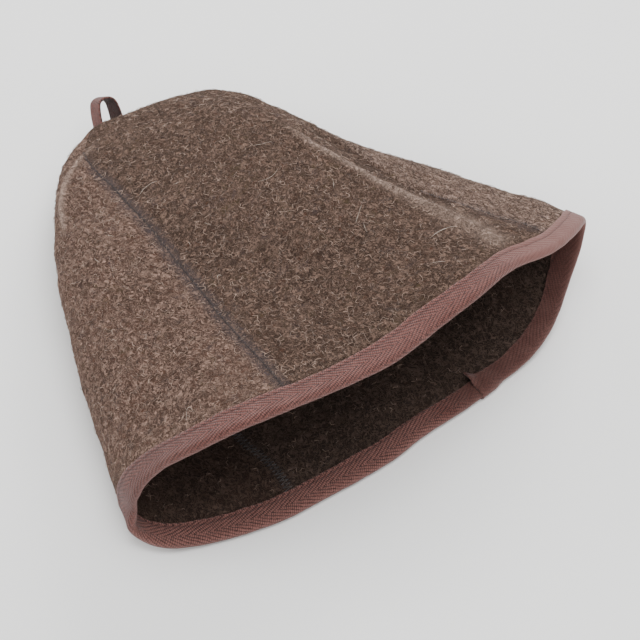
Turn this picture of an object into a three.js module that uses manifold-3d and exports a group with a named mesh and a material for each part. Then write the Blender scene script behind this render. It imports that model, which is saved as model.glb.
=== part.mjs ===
// A sauna hat of thick wool felt, lying on its side.
// Three bell-shaped gores are butted edge to edge and sewn, a woven tape binds the rim,
// and a short loop of the same tape is sewn into the seam beside the tip.
// Millimetres. The mouth looks along -Y, the tip points along +Y, and the hat lies on Z = 0.

import * as THREE from "three";
import Module from "manifold-3d";

const FELT_THICKNESS = 3;
const TAPE_THICKNESS = 0.8;
const SEWN_GAP = 0.35;
const FOLD_SLACK = 0.2;
const TIP = { x: -1.52, y: 133.24, z: 25 };
const PLAN_REACH = 276;
const OUTER_LEG = 13.5;
const INNER_LEG = 11;

// How the hat was squashed flat. Each row is a closed section round the tip, at a share of the
// plan reach. left and right are the angles in degrees that it spans each side of -Y, and top
// and bottom are its heights on the middle line.
const SECTIONS = [
  { share: 0, left: 88, right: 88, top: 25, bottom: 25 },
  { share: 0.012, left: 84.5, right: 84, top: 30.5, bottom: 19.5 },
  { share: 0.055, left: 79.5, right: 80, top: 37, bottom: 11 },
  { share: 0.125, left: 70.6, right: 75.6, top: 45, bottom: 4.5 },
  { share: 0.235, left: 60, right: 73.6, top: 54.5, bottom: 0 },
  { share: 0.36, left: 51.6, right: 56.2, top: 63, bottom: 0 },
  { share: 0.54, left: 44, right: 41.4, top: 71, bottom: 0 },
  { share: 0.76, left: 38, right: 36.7, top: 77, bottom: 0 },
  { share: 0.9, left: 35.3, right: 35.2, top: 81, bottom: 1.1 },
  { share: 1, left: 34.8, right: 33.6, top: 84, bottom: 1.4 },
];

// The two side edges of the same sections. waist is the edge's height. square flattens the top
// and ends it abruptly, and round of 0.5 ends it as an ellipse does, of 1 with a sharp edge.
const LEFT_EDGE = [
  { share: 0, waist: 25, square: 2, round: 0.5 },
  { share: 0.012, waist: 24, square: 2, round: 0.5 },
  { share: 0.125, waist: 22, square: 2, round: 0.5 },
  { share: 0.36, waist: 24, square: 2.2, round: 0.5 },
  { share: 0.54, waist: 26, square: 2.4, round: 0.5 },
  { share: 0.76, waist: 24, square: 2.8, round: 0.48 },
  { share: 0.9, waist: 20, square: 3.2, round: 0.45 },
  { share: 1, waist: 16, square: 3.6, round: 0.42 },
];
const RIGHT_EDGE = [
  { share: 0, waist: 25, square: 2, round: 0.5 },
  { share: 0.125, waist: 25, square: 2, round: 0.5 },
  { share: 0.36, waist: 28, square: 2, round: 0.5 },
  { share: 0.54, waist: 31, square: 2.1, round: 0.55 },
  { share: 0.76, waist: 35, square: 2.3, round: 0.7 },
  { share: 0.9, waist: 37, square: 2.5, round: 0.85 },
  { share: 1, waist: 39, square: 2.6, round: 0.95 },
];
const LEFT_UNDER_ROUND = 0.42;
const RIGHT_UNDER_ROUND = 0.62;
const FLOOR_PRESS = { depth: 3, fullAt: 0.2 };
const EDGE_SOFTENING_PASSES = 6;

// Waves in the mouth's upper lip, which fade towards the tip. side runs from -1 at the left edge
// of the mouth to 1 at the right edge.
const LIP_WAVES = [
  { side: -0.62, width: 0.28, lift: 7 },
  { side: 0.42, width: 0.20, lift: 5 },
  { side: 0.05, width: 0.35, lift: -4 },
];

// How far the rim lies ahead of a plain arc round the tip, or behind it. ease is the share of the
// half width over which a shift comes in. The top names are added where the section rises.
const UPPER_LIP_SETBACK = 9;
const RIGHT_ADVANCE = { reach: 18, ease: 0.58, topEase: 0.27 };
const LEFT_ADVANCE = { reach: 5.5, topReach: -2, ease: 0.5 };
const LEFT_END_SETBACK = { reach: 4, topReach: 5, ease: 0.16, topEase: 0.14 };

// Where the rim's cut edge wanders in plan, at a turn and over a width in turns.
const RIM_TRIMS = [
  { turn: 0.118, width: 0.038, reach: -5.8 },
  { turn: 0.245, width: 0.03, reach: 2.3 },
  { turn: 0.325, width: 0.04, reach: -1.2 },
  { turn: 0.53, width: 0.02, reach: -2.4 },
  { turn: 0.565, width: 0.03, reach: 1.5 },
  { turn: 0.67, width: 0.03, reach: -1.8 },
  { turn: 0.74, width: 0.025, reach: 1.6 },
  { turn: 0.85, width: 0.04, reach: -3.8 },
  { turn: 0.95, width: 0.03, reach: -1.6 },
  { turn: 0, width: 0.02, reach: -1.2 },
];

// Soft ridges that packing pressed into the felt, along a line of constant turn.
const CREASES = [
  { turn: 0.097, from: 0.28, to: 0.99, halfWidth: 12, height: 2 },
  { turn: 0.465, from: 0.03, to: 0.34, halfWidth: 8, height: 1.8 },
];
const CREASE_ENDS = { start: 0.08, end: 0.1 };

// The three seams. turn is the share of the section's girth, from the right edge over the top.
const SEAM_TOP_LEFT = [
  { share: 0, turn: 0.405 },
  { share: 0.1, turn: 0.402 },
  { share: 0.22, turn: 0.377 },
  { share: 0.3, turn: 0.366 },
  { share: 0.47, turn: 0.346 },
  { share: 0.64, turn: 0.339 },
  { share: 0.87, turn: 0.3365 },
  { share: 1, turn: 0.33 },
];
const SEAM_UNDER = [
  { share: 0, turn: 0.69 },
  { share: 0.4, turn: 0.655 },
  { share: 0.8, turn: 0.643 },
  { share: 0.93, turn: 0.653 },
  { share: 1, turn: 0.653 },
];
const SEAM_RIGHT = [
  { share: 0, turn: 0.0 },
  { share: 0.42, turn: 0.02 },
  { share: 0.54, turn: 0.05 },
  { share: 0.64, turn: 0.077 },
  { share: 0.72, turn: 0.089 },
  { share: 0.85, turn: 0.081 },
  { share: 0.93, turn: 0.068 },
  { share: 1, turn: 0.063 },
];

// Mesh fineness. A gore's last rows lie under the ends of the tape's two legs and at the rim.
const SECTION_SAMPLES = 240;
const LEG_SHARE = OUTER_LEG / PLAN_REACH;
const INNER_LEG_PART = INNER_LEG / OUTER_LEG;
const GORE_ROWS = [
  0.0025, 0.012, 0.03, 0.06, 0.1, 0.15, 0.205, 0.27, 0.335, 0.4, 0.47, 0.54, 0.61, 0.68, 0.75,
  0.82, 0.88, 1 - LEG_SHARE, 1 - LEG_SHARE * INNER_LEG_PART, 1,
];
const DIFFERENCE_STEP = 0.003;

// The gores stand further apart where their three points meet at the tip.
const TIP_GAP = { width: 0.8, until: 0.06 };

// The hanging loop. across runs from the left leg to the right one, and up away from the crown.
const LOOP_WIDTH = 9;
const LOOP_THICKNESS = 1.7;
const LOOP_UP = new THREE.Vector3(0.42, 0.6, 0.68).normalize();
const LOOP_ACROSS = new THREE.Vector3(0.82, -0.17, -0.54).normalize();
const LOOP_SEAT_SHARE = 0.0025;
const LOOP_PATH = [
  { across: -0.7, up: -9 },
  { across: -2, up: 0 },
  { across: -3, up: 7 },
  { across: -2.6, up: 13.2 },
  { across: 0.2, up: 15.8 },
  { across: 4.4, up: 17 },
  { across: 8.2, up: 15.6 },
  { across: 10.8, up: 10.5 },
  { across: 12.4, up: 4 },
  { across: 13.2, up: -4 },
  { across: 13.4, up: -11 },
];
const LOOP_STEPS = 26;
const CROWN_ROWS = [0.0012, 0.004, 0.01, 0.02, 0.035, 0.055, 0.08, 0.11, 0.15, 0.2, 0.26];
const CROWN_COLUMNS = 96;

// The gores, in the order that a turn passes them.
const GORES = [
  { name: "gore_top", from: SEAM_RIGHT, to: SEAM_TOP_LEFT, columns: 26, finish: "felt" },
  { name: "gore_left", from: SEAM_TOP_LEFT, to: SEAM_UNDER, columns: 28, finish: "felt_left" },
  { name: "gore_under", from: SEAM_UNDER, to: SEAM_RIGHT, columns: 36, finish: "felt" },
];

const FINISHES = {
  felt: { color: 0x6e5c50, roughness: 0.97, metalness: 0 },
  felt_left: { color: 0x7d6659, roughness: 0.97, metalness: 0 },
  tape: { color: 0x7f5b55, roughness: 0.8, metalness: 0 },
};

function smoothStep(value) {
  const clamped = THREE.MathUtils.clamp(value, 0, 1);
  return clamped * clamped * (3 - 2 * clamped);
}

// A monotone cubic through a table's column. The columns run evenly in the square root of share,
// which gives the closed end of the crown a round nose.
function readTable(rows, column, share) {
  const spots = rows.map((row) => Math.sqrt(row.share));
  const values = rows.map((row) => row[column]);
  const spot = Math.sqrt(THREE.MathUtils.clamp(share, 0, 1));
  let index = 0;
  while (index < rows.length - 2 && spot > spots[index + 1]) index += 1;
  const chord = (k) => (values[k + 1] - values[k]) / (spots[k + 1] - spots[k]);
  const slope = (k) => {
    if (k === 0) return chord(0);
    if (k === rows.length - 1) return chord(k - 1);
    const before = chord(k - 1);
    const after = chord(k);
    return before * after <= 0 ? 0 : (2 * before * after) / (before + after);
  };
  const span = spots[index + 1] - spots[index];
  const t = (spot - spots[index]) / span;
  const startWeight = (1 + 2 * t) * (1 - t) ** 2;
  const endWeight = t * t * (3 - 2 * t);
  return startWeight * values[index] + endWeight * values[index + 1]
    + span * (t * (1 - t) ** 2 * slope(index) - t * t * (1 - t) * slope(index + 1));
}

// How far in plan a point of a section lies from the tip.
function planReach(share, side, rise) {
  const right = RIGHT_ADVANCE.reach
    * smoothStep(side / (RIGHT_ADVANCE.ease + RIGHT_ADVANCE.topEase * rise));
  const left = (LEFT_ADVANCE.reach + LEFT_ADVANCE.topReach * rise)
    * smoothStep(-side / LEFT_ADVANCE.ease);
  const endEase = LEFT_END_SETBACK.ease + LEFT_END_SETBACK.topEase * rise;
  const end = (LEFT_END_SETBACK.reach + LEFT_END_SETBACK.topReach * rise)
    * smoothStep((-side - 1 + endEase) / endEase);
  const setback = UPPER_LIP_SETBACK * share ** 2 * rise;
  return PLAN_REACH * share - setback + share ** 3 * (right + left - end);
}

// One corner of a section, at an angle round it from the right edge over the top.
function rawSectionPoint(share, angle) {
  const size = (name) => readTable(SECTIONS, name, share);
  const cosine = Math.cos(angle);
  const sine = Math.sin(angle);
  const onRight = cosine >= 0;
  const onTop = sine >= 0;
  const edge = onRight ? RIGHT_EDGE : LEFT_EDGE;
  const square = readTable(edge, "square", share);
  const topRound = readTable(edge, "round", share);
  const underRound = onRight ? RIGHT_UNDER_ROUND : LEFT_UNDER_ROUND;
  const side = Math.sign(cosine) * Math.abs(cosine) ** (2 / square);
  const rise = Math.abs(sine) ** (2 * (onTop ? topRound : underRound));
  const leftWaist = readTable(LEFT_EDGE, "waist", share);
  const rightWaist = readTable(RIGHT_EDGE, "waist", share);
  const waist = leftWaist + (rightWaist - leftWaist) * (1 + side) / 2;
  const waves = LIP_WAVES.reduce((sum, wave) => (
    sum + wave.lift * Math.exp(-(((side - wave.side) / wave.width) ** 2))), 0);
  const bottom = size("bottom");
  const press = FLOOR_PRESS.depth * smoothStep(share / FLOOR_PRESS.fullAt);
  const height = onTop
    ? waist + (size("top") + share ** 3 * waves - waist) * rise
    : Math.max(bottom, waist - (waist - bottom + press) * rise);
  const plan = THREE.MathUtils.degToRad(size(onRight ? "right" : "left")) * side;
  const reach = planReach(share, side, onTop ? rise : 0);
  return new THREE.Vector3(TIP.x + reach * Math.sin(plan), TIP.y - reach * Math.cos(plan), height);
}

// Points at even steps of arc length round a closed line of points.
function evenlySpaced(points, count) {
  const closed = [...points, points[0]];
  const lengths = [0];
  for (let k = 1; k < closed.length; k += 1) {
    lengths.push(lengths[k - 1] + closed[k].distanceTo(closed[k - 1]));
  }
  const girth = lengths[lengths.length - 1];
  const even = [];
  let k = 1;
  for (let step = 0; step < count; step += 1) {
    const target = (girth * step) / count;
    while (lengths[k] < target) k += 1;
    const part = (target - lengths[k - 1]) / (lengths[k] - lengths[k - 1]);
    even.push(new THREE.Vector3().lerpVectors(closed[k - 1], closed[k], part));
  }
  return { even, girth };
}

const sectionStore = new Map();

// A whole section, with the hard edges of its formula worn soft as thick felt wears them.
function section(share) {
  const key = share.toFixed(6);
  if (sectionStore.has(key)) return sectionStore.get(key);
  const raw = [];
  for (let k = 0; k < SECTION_SAMPLES * 2; k += 1) {
    raw.push(rawSectionPoint(share, (Math.PI * k) / SECTION_SAMPLES));
  }
  const { even, girth } = evenlySpaced(raw, SECTION_SAMPLES);
  let points = even;
  const floor = readTable(SECTIONS, "bottom", share);
  for (let pass = 0; pass < EDGE_SOFTENING_PASSES; pass += 1) {
    const previous = points;
    points = previous.map((point, k) => {
      const before = previous[(k + SECTION_SAMPLES - 1) % SECTION_SAMPLES];
      const after = previous[(k + 1) % SECTION_SAMPLES];
      const soft = point.clone().multiplyScalar(2).add(before).add(after).multiplyScalar(0.25);
      soft.z = point.z <= floor + 1e-6 ? point.z : soft.z;
      return soft;
    });
  }
  points.forEach((point, k) => trimRim(point, k / SECTION_SAMPLES, share));
  sectionStore.set(key, { points, girth });
  return { points, girth };
}

// Moves a point of a section in plan, towards the tip or away from it.
function trimRim(point, turn, share) {
  const shift = RIM_TRIMS.reduce((sum, trim) => {
    const apart = ((turn - trim.turn + 1.5) % 1) - 0.5;
    return sum + trim.reach * Math.exp(-((apart / trim.width) ** 2));
  }, 0);
  const away = new THREE.Vector3(point.x - TIP.x, point.y - TIP.y, 0).normalize();
  point.addScaledVector(away, shift * share ** 6);
}

// The felt's outer surface before its creases.
function smoothWall(turn, share) {
  const { points } = section(share);
  const place = (((turn % 1) + 1) % 1) * points.length;
  const index = Math.floor(place) % points.length;
  const next = points[(index + 1) % points.length];
  return new THREE.Vector3().lerpVectors(points[index], next, place - Math.floor(place));
}

// The felt's outer surface at a turn and a share: its point, outward normal and the direction
// towards the rim.
function wallFrame(turn, share) {
  const lower = Math.max(share - DIFFERENCE_STEP, 0.0008);
  const upper = Math.min(share + DIFFERENCE_STEP, 1);
  const towardsRim = smoothWall(turn, upper).sub(smoothWall(turn, lower));
  const round = smoothWall(turn + DIFFERENCE_STEP * 2, share)
    .sub(smoothWall(turn - DIFFERENCE_STEP * 2, share));
  const normal = new THREE.Vector3().crossVectors(round, towardsRim).normalize();
  const point = smoothWall(turn, share);
  const { girth } = section(share);
  for (const crease of CREASES) {
    const offset = (turn - crease.turn) * girth / crease.halfWidth;
    const fade = smoothStep((share - crease.from) / CREASE_ENDS.start)
      * smoothStep((crease.to - share) / CREASE_ENDS.end);
    point.addScaledVector(normal, crease.height * fade * Math.exp(-(offset ** 2)));
  }
  return { point, normal, towardsRim: towardsRim.normalize() };
}

function wallPoint(turn, share, depth) {
  const { point, normal } = wallFrame(turn, share);
  return point.addScaledVector(normal, -depth);
}

// Two triangles for a quad, split along its shorter diagonal.
function pushQuad(index, points, a, b, c, d) {
  if (points[a].distanceTo(points[c]) <= points[b].distanceTo(points[d])) {
    index.push(a, b, c, a, c, d);
  } else {
    index.push(a, b, d, b, c, d);
  }
}

// A closed body from rows of points: rings[row][column]. Each ring is closed on itself, and the
// first and last ring are filled with a fan when capped, or joined to each other when not.
function bodyFromRings(rings, capped) {
  const columns = rings[0].length;
  const points = rings.flat();
  const index = [];
  const pairs = capped ? rings.length - 1 : rings.length;
  for (let row = 0; row < pairs; row += 1) {
    const next = (row + 1) % rings.length;
    for (let column = 0; column < columns; column += 1) {
      const across = (column + 1) % columns;
      pushQuad(index, points, row * columns + column, next * columns + column,
        next * columns + across, row * columns + across);
    }
  }
  if (capped) {
    const last = (rings.length - 1) * columns;
    for (let column = 1; column < columns - 1; column += 1) {
      index.push(0, column, column + 1);
      index.push(last, last + column + 1, last + column);
    }
  }
  return facingOut(points, index);
}

function signedVolume(points, index) {
  let volume = 0;
  for (let k = 0; k < index.length; k += 3) {
    const [a, b, c] = [points[index[k]], points[index[k + 1]], points[index[k + 2]]];
    volume += a.dot(new THREE.Vector3().crossVectors(b, c)) / 6;
  }
  return volume;
}

// A geometry of these triangles, all turned over if they face inwards.
function facingOut(points, index) {
  if (signedVolume(points, index) < 0) {
    for (let k = 0; k < index.length; k += 3) {
      [index[k + 1], index[k + 2]] = [index[k + 2], index[k + 1]];
    }
  }
  const geometry = new THREE.BufferGeometry().setFromPoints(points);
  geometry.setIndex(index);
  return geometry;
}

function piece(name, geometry, finish) {
  geometry.computeVertexNormals();
  const mesh = new THREE.Mesh(geometry, new THREE.MeshStandardMaterial(FINISHES[finish]));
  mesh.name = name;
  return mesh;
}

// The turns of a gore's columns at a share, from just past one seam to just short of the next.
function goreTurns({ from, to, columns }, share) {
  const { girth } = section(share);
  const gap = SEWN_GAP + (TIP_GAP.width - SEWN_GAP) * (1 - smoothStep(share / TIP_GAP.until));
  const start = readTable(from, "turn", share) + gap / 2 / girth;
  let end = readTable(to, "turn", share) - gap / 2 / girth;
  if (end < start) end += 1;
  const step = (end - start) / columns;
  return Array.from({ length: columns + 1 }, (_, column) => start + step * column);
}

// One gore: a closed sheet of felt between two seams. Each ring runs over the outer face from
// one seam to the other and back over the inner face.
function goreGeometry(gore) {
  const rings = GORE_ROWS.map((share) => {
    const turns = goreTurns(gore, share);
    const outer = turns.map((turn) => wallPoint(turn, share, 0));
    const inner = turns.map((turn) => wallPoint(turn, share, FELT_THICKNESS));
    return [...outer, ...inner.reverse()];
  });
  return gorePatch(rings, gore.columns);
}

// The rings of a gore joined into one body, with the tip and the rim edge closed by strips.
function gorePatch(rings, columns) {
  const width = rings[0].length;
  const points = rings.flat();
  const index = [];
  for (let row = 0; row < rings.length - 1; row += 1) {
    for (let column = 0; column < width; column += 1) {
      const across = (column + 1) % width;
      pushQuad(index, points, row * width + column, (row + 1) * width + column,
        (row + 1) * width + across, row * width + across);
    }
  }
  const last = (rings.length - 1) * width;
  for (let column = 0; column < columns; column += 1) {
    const a = column;
    const b = column + 1;
    const c = width - 1 - b;
    const d = width - 1 - a;
    index.push(a, b, c, a, c, d);
    index.push(last + a, last + c, last + b, last + a, last + d, last + c);
  }
  return facingOut(points, index);
}

// The tape's folded section. leg is the share of the tape's leg that a point lies up from the
// felt's cut edge, over is how far it lies beyond that edge, and out is from the felt's outer face.
function bindingProfile() {
  const inside = -FELT_THICKNESS;
  const outerFace = SEWN_GAP + TAPE_THICKNESS;
  const innerFace = inside - outerFace;
  const fold = SEWN_GAP + TAPE_THICKNESS + FOLD_SLACK;
  return [
    { leg: 1, over: 0, out: outerFace },
    { leg: INNER_LEG_PART, over: 0, out: outerFace },
    { leg: 0, over: 0, out: outerFace },
    { leg: 0, over: fold * 0.7, out: SEWN_GAP },
    { leg: 0, over: fold, out: inside / 2 },
    { leg: 0, over: fold * 0.7, out: inside - SEWN_GAP },
    { leg: 0, over: 0, out: innerFace },
    { leg: INNER_LEG_PART, over: 0, out: innerFace },
    { leg: INNER_LEG_PART, over: 0, out: inside - SEWN_GAP },
    { leg: 0, over: SEWN_GAP, out: inside - SEWN_GAP },
    { leg: 0, over: SEWN_GAP, out: SEWN_GAP },
    { leg: INNER_LEG_PART, over: 0, out: SEWN_GAP },
    { leg: 1, over: 0, out: SEWN_GAP },
  ];
}

// The tape runs round the rim through the same columns as the gores that it covers.
function bindingGeometry() {
  const profile = bindingProfile();
  const rings = GORES.flatMap((gore) => (
    Array.from({ length: gore.columns + 1 }, (_, column) => (
      profile.map(({ leg, over, out }) => {
        const share = 1 - LEG_SHARE * leg;
        const frame = wallFrame(goreTurns(gore, share)[column], share);
        return frame.point
          .addScaledVector(frame.normal, out)
          .addScaledVector(frame.towardsRim, over);
      })))));
  return bodyFromRings(rings, false);
}

// The loop's tape as a bent strip, long enough to run into the crown at both ends.
function loopStripGeometry() {
  const seat = wallFrame(0, LOOP_SEAT_SHARE).point;
  const broad = new THREE.Vector3().crossVectors(LOOP_UP, LOOP_ACROSS).normalize();
  const stations = LOOP_PATH.map(({ across, up }) => (
    seat.clone().addScaledVector(LOOP_ACROSS, across).addScaledVector(LOOP_UP, up)));
  const path = new THREE.CatmullRomCurve3(stations, false, "centripetal");
  const rings = [];
  for (let step = 0; step <= LOOP_STEPS; step += 1) {
    const point = path.getPointAt(step / LOOP_STEPS);
    const tangent = path.getTangentAt(step / LOOP_STEPS);
    const thin = new THREE.Vector3().crossVectors(tangent, broad).normalize();
    const corner = (broadSide, thinSide) => point.clone()
      .addScaledVector(broad, (LOOP_WIDTH / 2) * broadSide)
      .addScaledVector(thin, (LOOP_THICKNESS / 2) * thinSide);
    rings.push([corner(-1, -1), corner(1, -1), corner(1, 1), corner(-1, 1)]);
  }
  return bodyFromRings(rings, true);
}

// The crown as one solid, grown by the sewn gap, used only to trim the loop's two feet.
function crownFormGeometry() {
  const rings = CROWN_ROWS.map((share) => (
    Array.from({ length: CROWN_COLUMNS }, (_, column) => (
      wallPoint(column / CROWN_COLUMNS, share, -SEWN_GAP)))));
  return bodyFromRings(rings, true);
}

const wasm = await Module();
wasm.setup();

function solidFrom(geometry) {
  return new wasm.Manifold(new wasm.Mesh({
    numProp: 3,
    vertProperties: new Float32Array(geometry.getAttribute("position").array),
    triVerts: new Uint32Array(geometry.getIndex().array),
  }));
}

function geometryFrom(solid) {
  const { vertProperties, triVerts } = solid.getMesh();
  const geometry = new THREE.BufferGeometry();
  geometry.setAttribute("position", new THREE.Float32BufferAttribute(vertProperties, 3));
  geometry.setIndex([...triVerts]);
  return geometry;
}

function loopGeometry() {
  const strip = solidFrom(loopStripGeometry());
  const crown = solidFrom(crownFormGeometry());
  return geometryFrom(strip.subtract(crown));
}

const hat = new THREE.Group();
hat.name = "sauna_hat";
const gores = new THREE.Group();
gores.name = "gores";
for (const gore of GORES) gores.add(piece(gore.name, goreGeometry(gore), gore.finish));
hat.add(gores);
hat.add(piece("rim_binding", bindingGeometry(), "tape"));
hat.add(piece("hanging_loop", loopGeometry(), "tape"));

export default hat;
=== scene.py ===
"""A sauna hat of thick wool felt, lying on its side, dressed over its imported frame.

Lengths in this file are millimetres and turn into metres where a mesh is made. A place on the
felt is a pair: turn, the share of the girth from the right edge over the top, and share, the
share of the way from the tip to the rim.
"""

from __future__ import annotations

import logging
import math
from dataclasses import dataclass
from enum import Enum

import bpy
import numpy as np
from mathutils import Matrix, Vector

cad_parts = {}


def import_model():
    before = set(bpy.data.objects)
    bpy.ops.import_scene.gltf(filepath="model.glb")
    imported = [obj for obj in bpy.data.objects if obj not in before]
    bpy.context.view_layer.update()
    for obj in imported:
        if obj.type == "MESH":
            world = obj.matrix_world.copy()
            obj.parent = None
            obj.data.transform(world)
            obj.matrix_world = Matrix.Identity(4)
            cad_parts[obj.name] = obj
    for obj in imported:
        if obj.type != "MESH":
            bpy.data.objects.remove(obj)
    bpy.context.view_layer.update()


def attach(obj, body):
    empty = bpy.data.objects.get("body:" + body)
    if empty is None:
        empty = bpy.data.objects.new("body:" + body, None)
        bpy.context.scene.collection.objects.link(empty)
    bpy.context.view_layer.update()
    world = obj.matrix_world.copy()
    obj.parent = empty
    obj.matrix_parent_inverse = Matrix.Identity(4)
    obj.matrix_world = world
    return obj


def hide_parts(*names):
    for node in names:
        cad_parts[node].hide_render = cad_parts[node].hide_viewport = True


LOG = logging.getLogger("sauna_hat")
MM = 0.001
BODY = "root"
FELT_THICKNESS = 3.0
TAPE_WIDTH = 29.6
VECTOR = "NodeSocketVector"
FLOAT = "NodeSocketFloat"
Array = np.ndarray
Node = bpy.types.Node
Socket = bpy.types.NodeSocket
Value = Socket | float | str | tuple
Colour = tuple[float, float, float, float]


class Side(Enum):
    """The two faces of the felt."""

    OUTER = 0
    INNER = 1


class Pattern(Enum):
    """The patterns that several finishes share."""

    WOOL = "wool"
    BLOTCHES = "blotches"
    TWILL = "twill"
    TWIST = "twist"


def ease(value: Array | float) -> Array:
    """Runs smoothly from 0 to 1 as the value does.

    Args:
        value: Numbers that may lie outside 0 to 1.

    Returns:
        The eased numbers, from 0 to 1.
    """
    held = np.clip(value, 0.0, 1.0)
    return held * held * (3.0 - 2.0 * held)


def unit(vectors: Array) -> Array:
    """Gives vectors a length of 1.

    Args:
        vectors: An array whose last axis holds x, y and z.

    Returns:
        The same directions at length 1.
    """
    return vectors / np.maximum(np.linalg.norm(vectors, axis=-1, keepdims=True), 1e-9)


def bell(offset: Array, width: float | Array) -> Array:
    """Gives a smooth hump, 1 in its middle and nearly 0 two widths away."""
    return np.exp(-(offset / width) ** 2)


def window(value: Array, start: float, end: float, rise: float, fall: float) -> Array:
    """Eases from 0 to 1 past a start, and back to 0 before an end.

    Args:
        value: Where to read it.
        start: The place where it leaves 0.
        end: The place where it is back at 0.
        rise: How long the first slope is.
        fall: How long the last slope is.

    Returns:
        The eased numbers, from 0 to 1.
    """
    return ease((value - start) / rise) * ease((end - value) / fall)


def past(turn: Array, place: float) -> Array:
    """Gives how far turns lie past a place, the short way round."""
    return (turn - place + 0.5) % 1 - 0.5


def cubic(t: Array, span: Array, knots: Array, slopes: Array, k: Array) -> Array:
    """Reads a smooth line through knots.

    Args:
        t: How far along its piece each place is, from 0 to 1.
        span: How long each place's piece is.
        knots: The values at the knots.
        slopes: The slopes at the knots.
        k: The knot before each place.

    Returns:
        The line's value at each place.
    """
    start, end = (1 + 2 * t) * (1 - t) ** 2, t * t * (3 - 2 * t)
    bend = t * (1 - t) ** 2 * slopes[k] - t * t * (1 - t) * slopes[k + 1]
    return start * knots[k] + end * knots[k + 1] + span * bend


@dataclass(frozen=True)
class Ramp:
    """A monotone cubic through a short table, even in the square root of share."""

    shares: tuple[float, ...]
    values: tuple[float, ...]

    def at(self, share: Array | float) -> Array:
        """Reads the table.

        Args:
            share: Shares of the way from the tip to the rim.

        Returns:
            The table's value at each share.
        """
        spots = np.sqrt(np.array(self.shares))
        values = np.array(self.values)
        chords = np.diff(values) / np.diff(spots)
        slopes = np.empty_like(values)
        slopes[0], slopes[-1] = chords[0], chords[-1]
        before, after = chords[:-1], chords[1:]
        total = np.where(before + after == 0, 1.0, before + after)
        slopes[1:-1] = np.where(before * after <= 0, 0.0, 2 * before * after / total)
        spot = np.sqrt(np.clip(share, 0.0, 1.0))
        k = np.clip(np.searchsorted(spots, spot, "left") - 1, 0, len(spots) - 2)
        span = spots[k + 1] - spots[k]
        return cubic((spot - spots[k]) / span, span, values, slopes, k)


@dataclass(frozen=True)
class Crease:
    """A soft ridge or valley that packing pressed into the felt, along a line of turns.

    Its fan is how much wider its band of wear and painted highlight grows towards the rim.
    """

    turns: Ramp
    start: float
    end: float
    half_width: float
    height: float
    fan: float = 0.0


@dataclass(frozen=True)
class Dent:
    """A round hollow, or a bump where its depth is negative."""

    turn: float
    share: float
    radius: float
    depth: float


ALL_SHARES = (0, 0.012, 0.055, 0.125, 0.235, 0.36, 0.54, 0.76, 0.9, 1)
LEFT_SHARES = (0, 0.012, 0.125, 0.36, 0.54, 0.76, 0.9, 1)
RIGHT_SHARES = (0, 0.125, 0.36, 0.54, 0.76, 0.9, 1)


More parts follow.
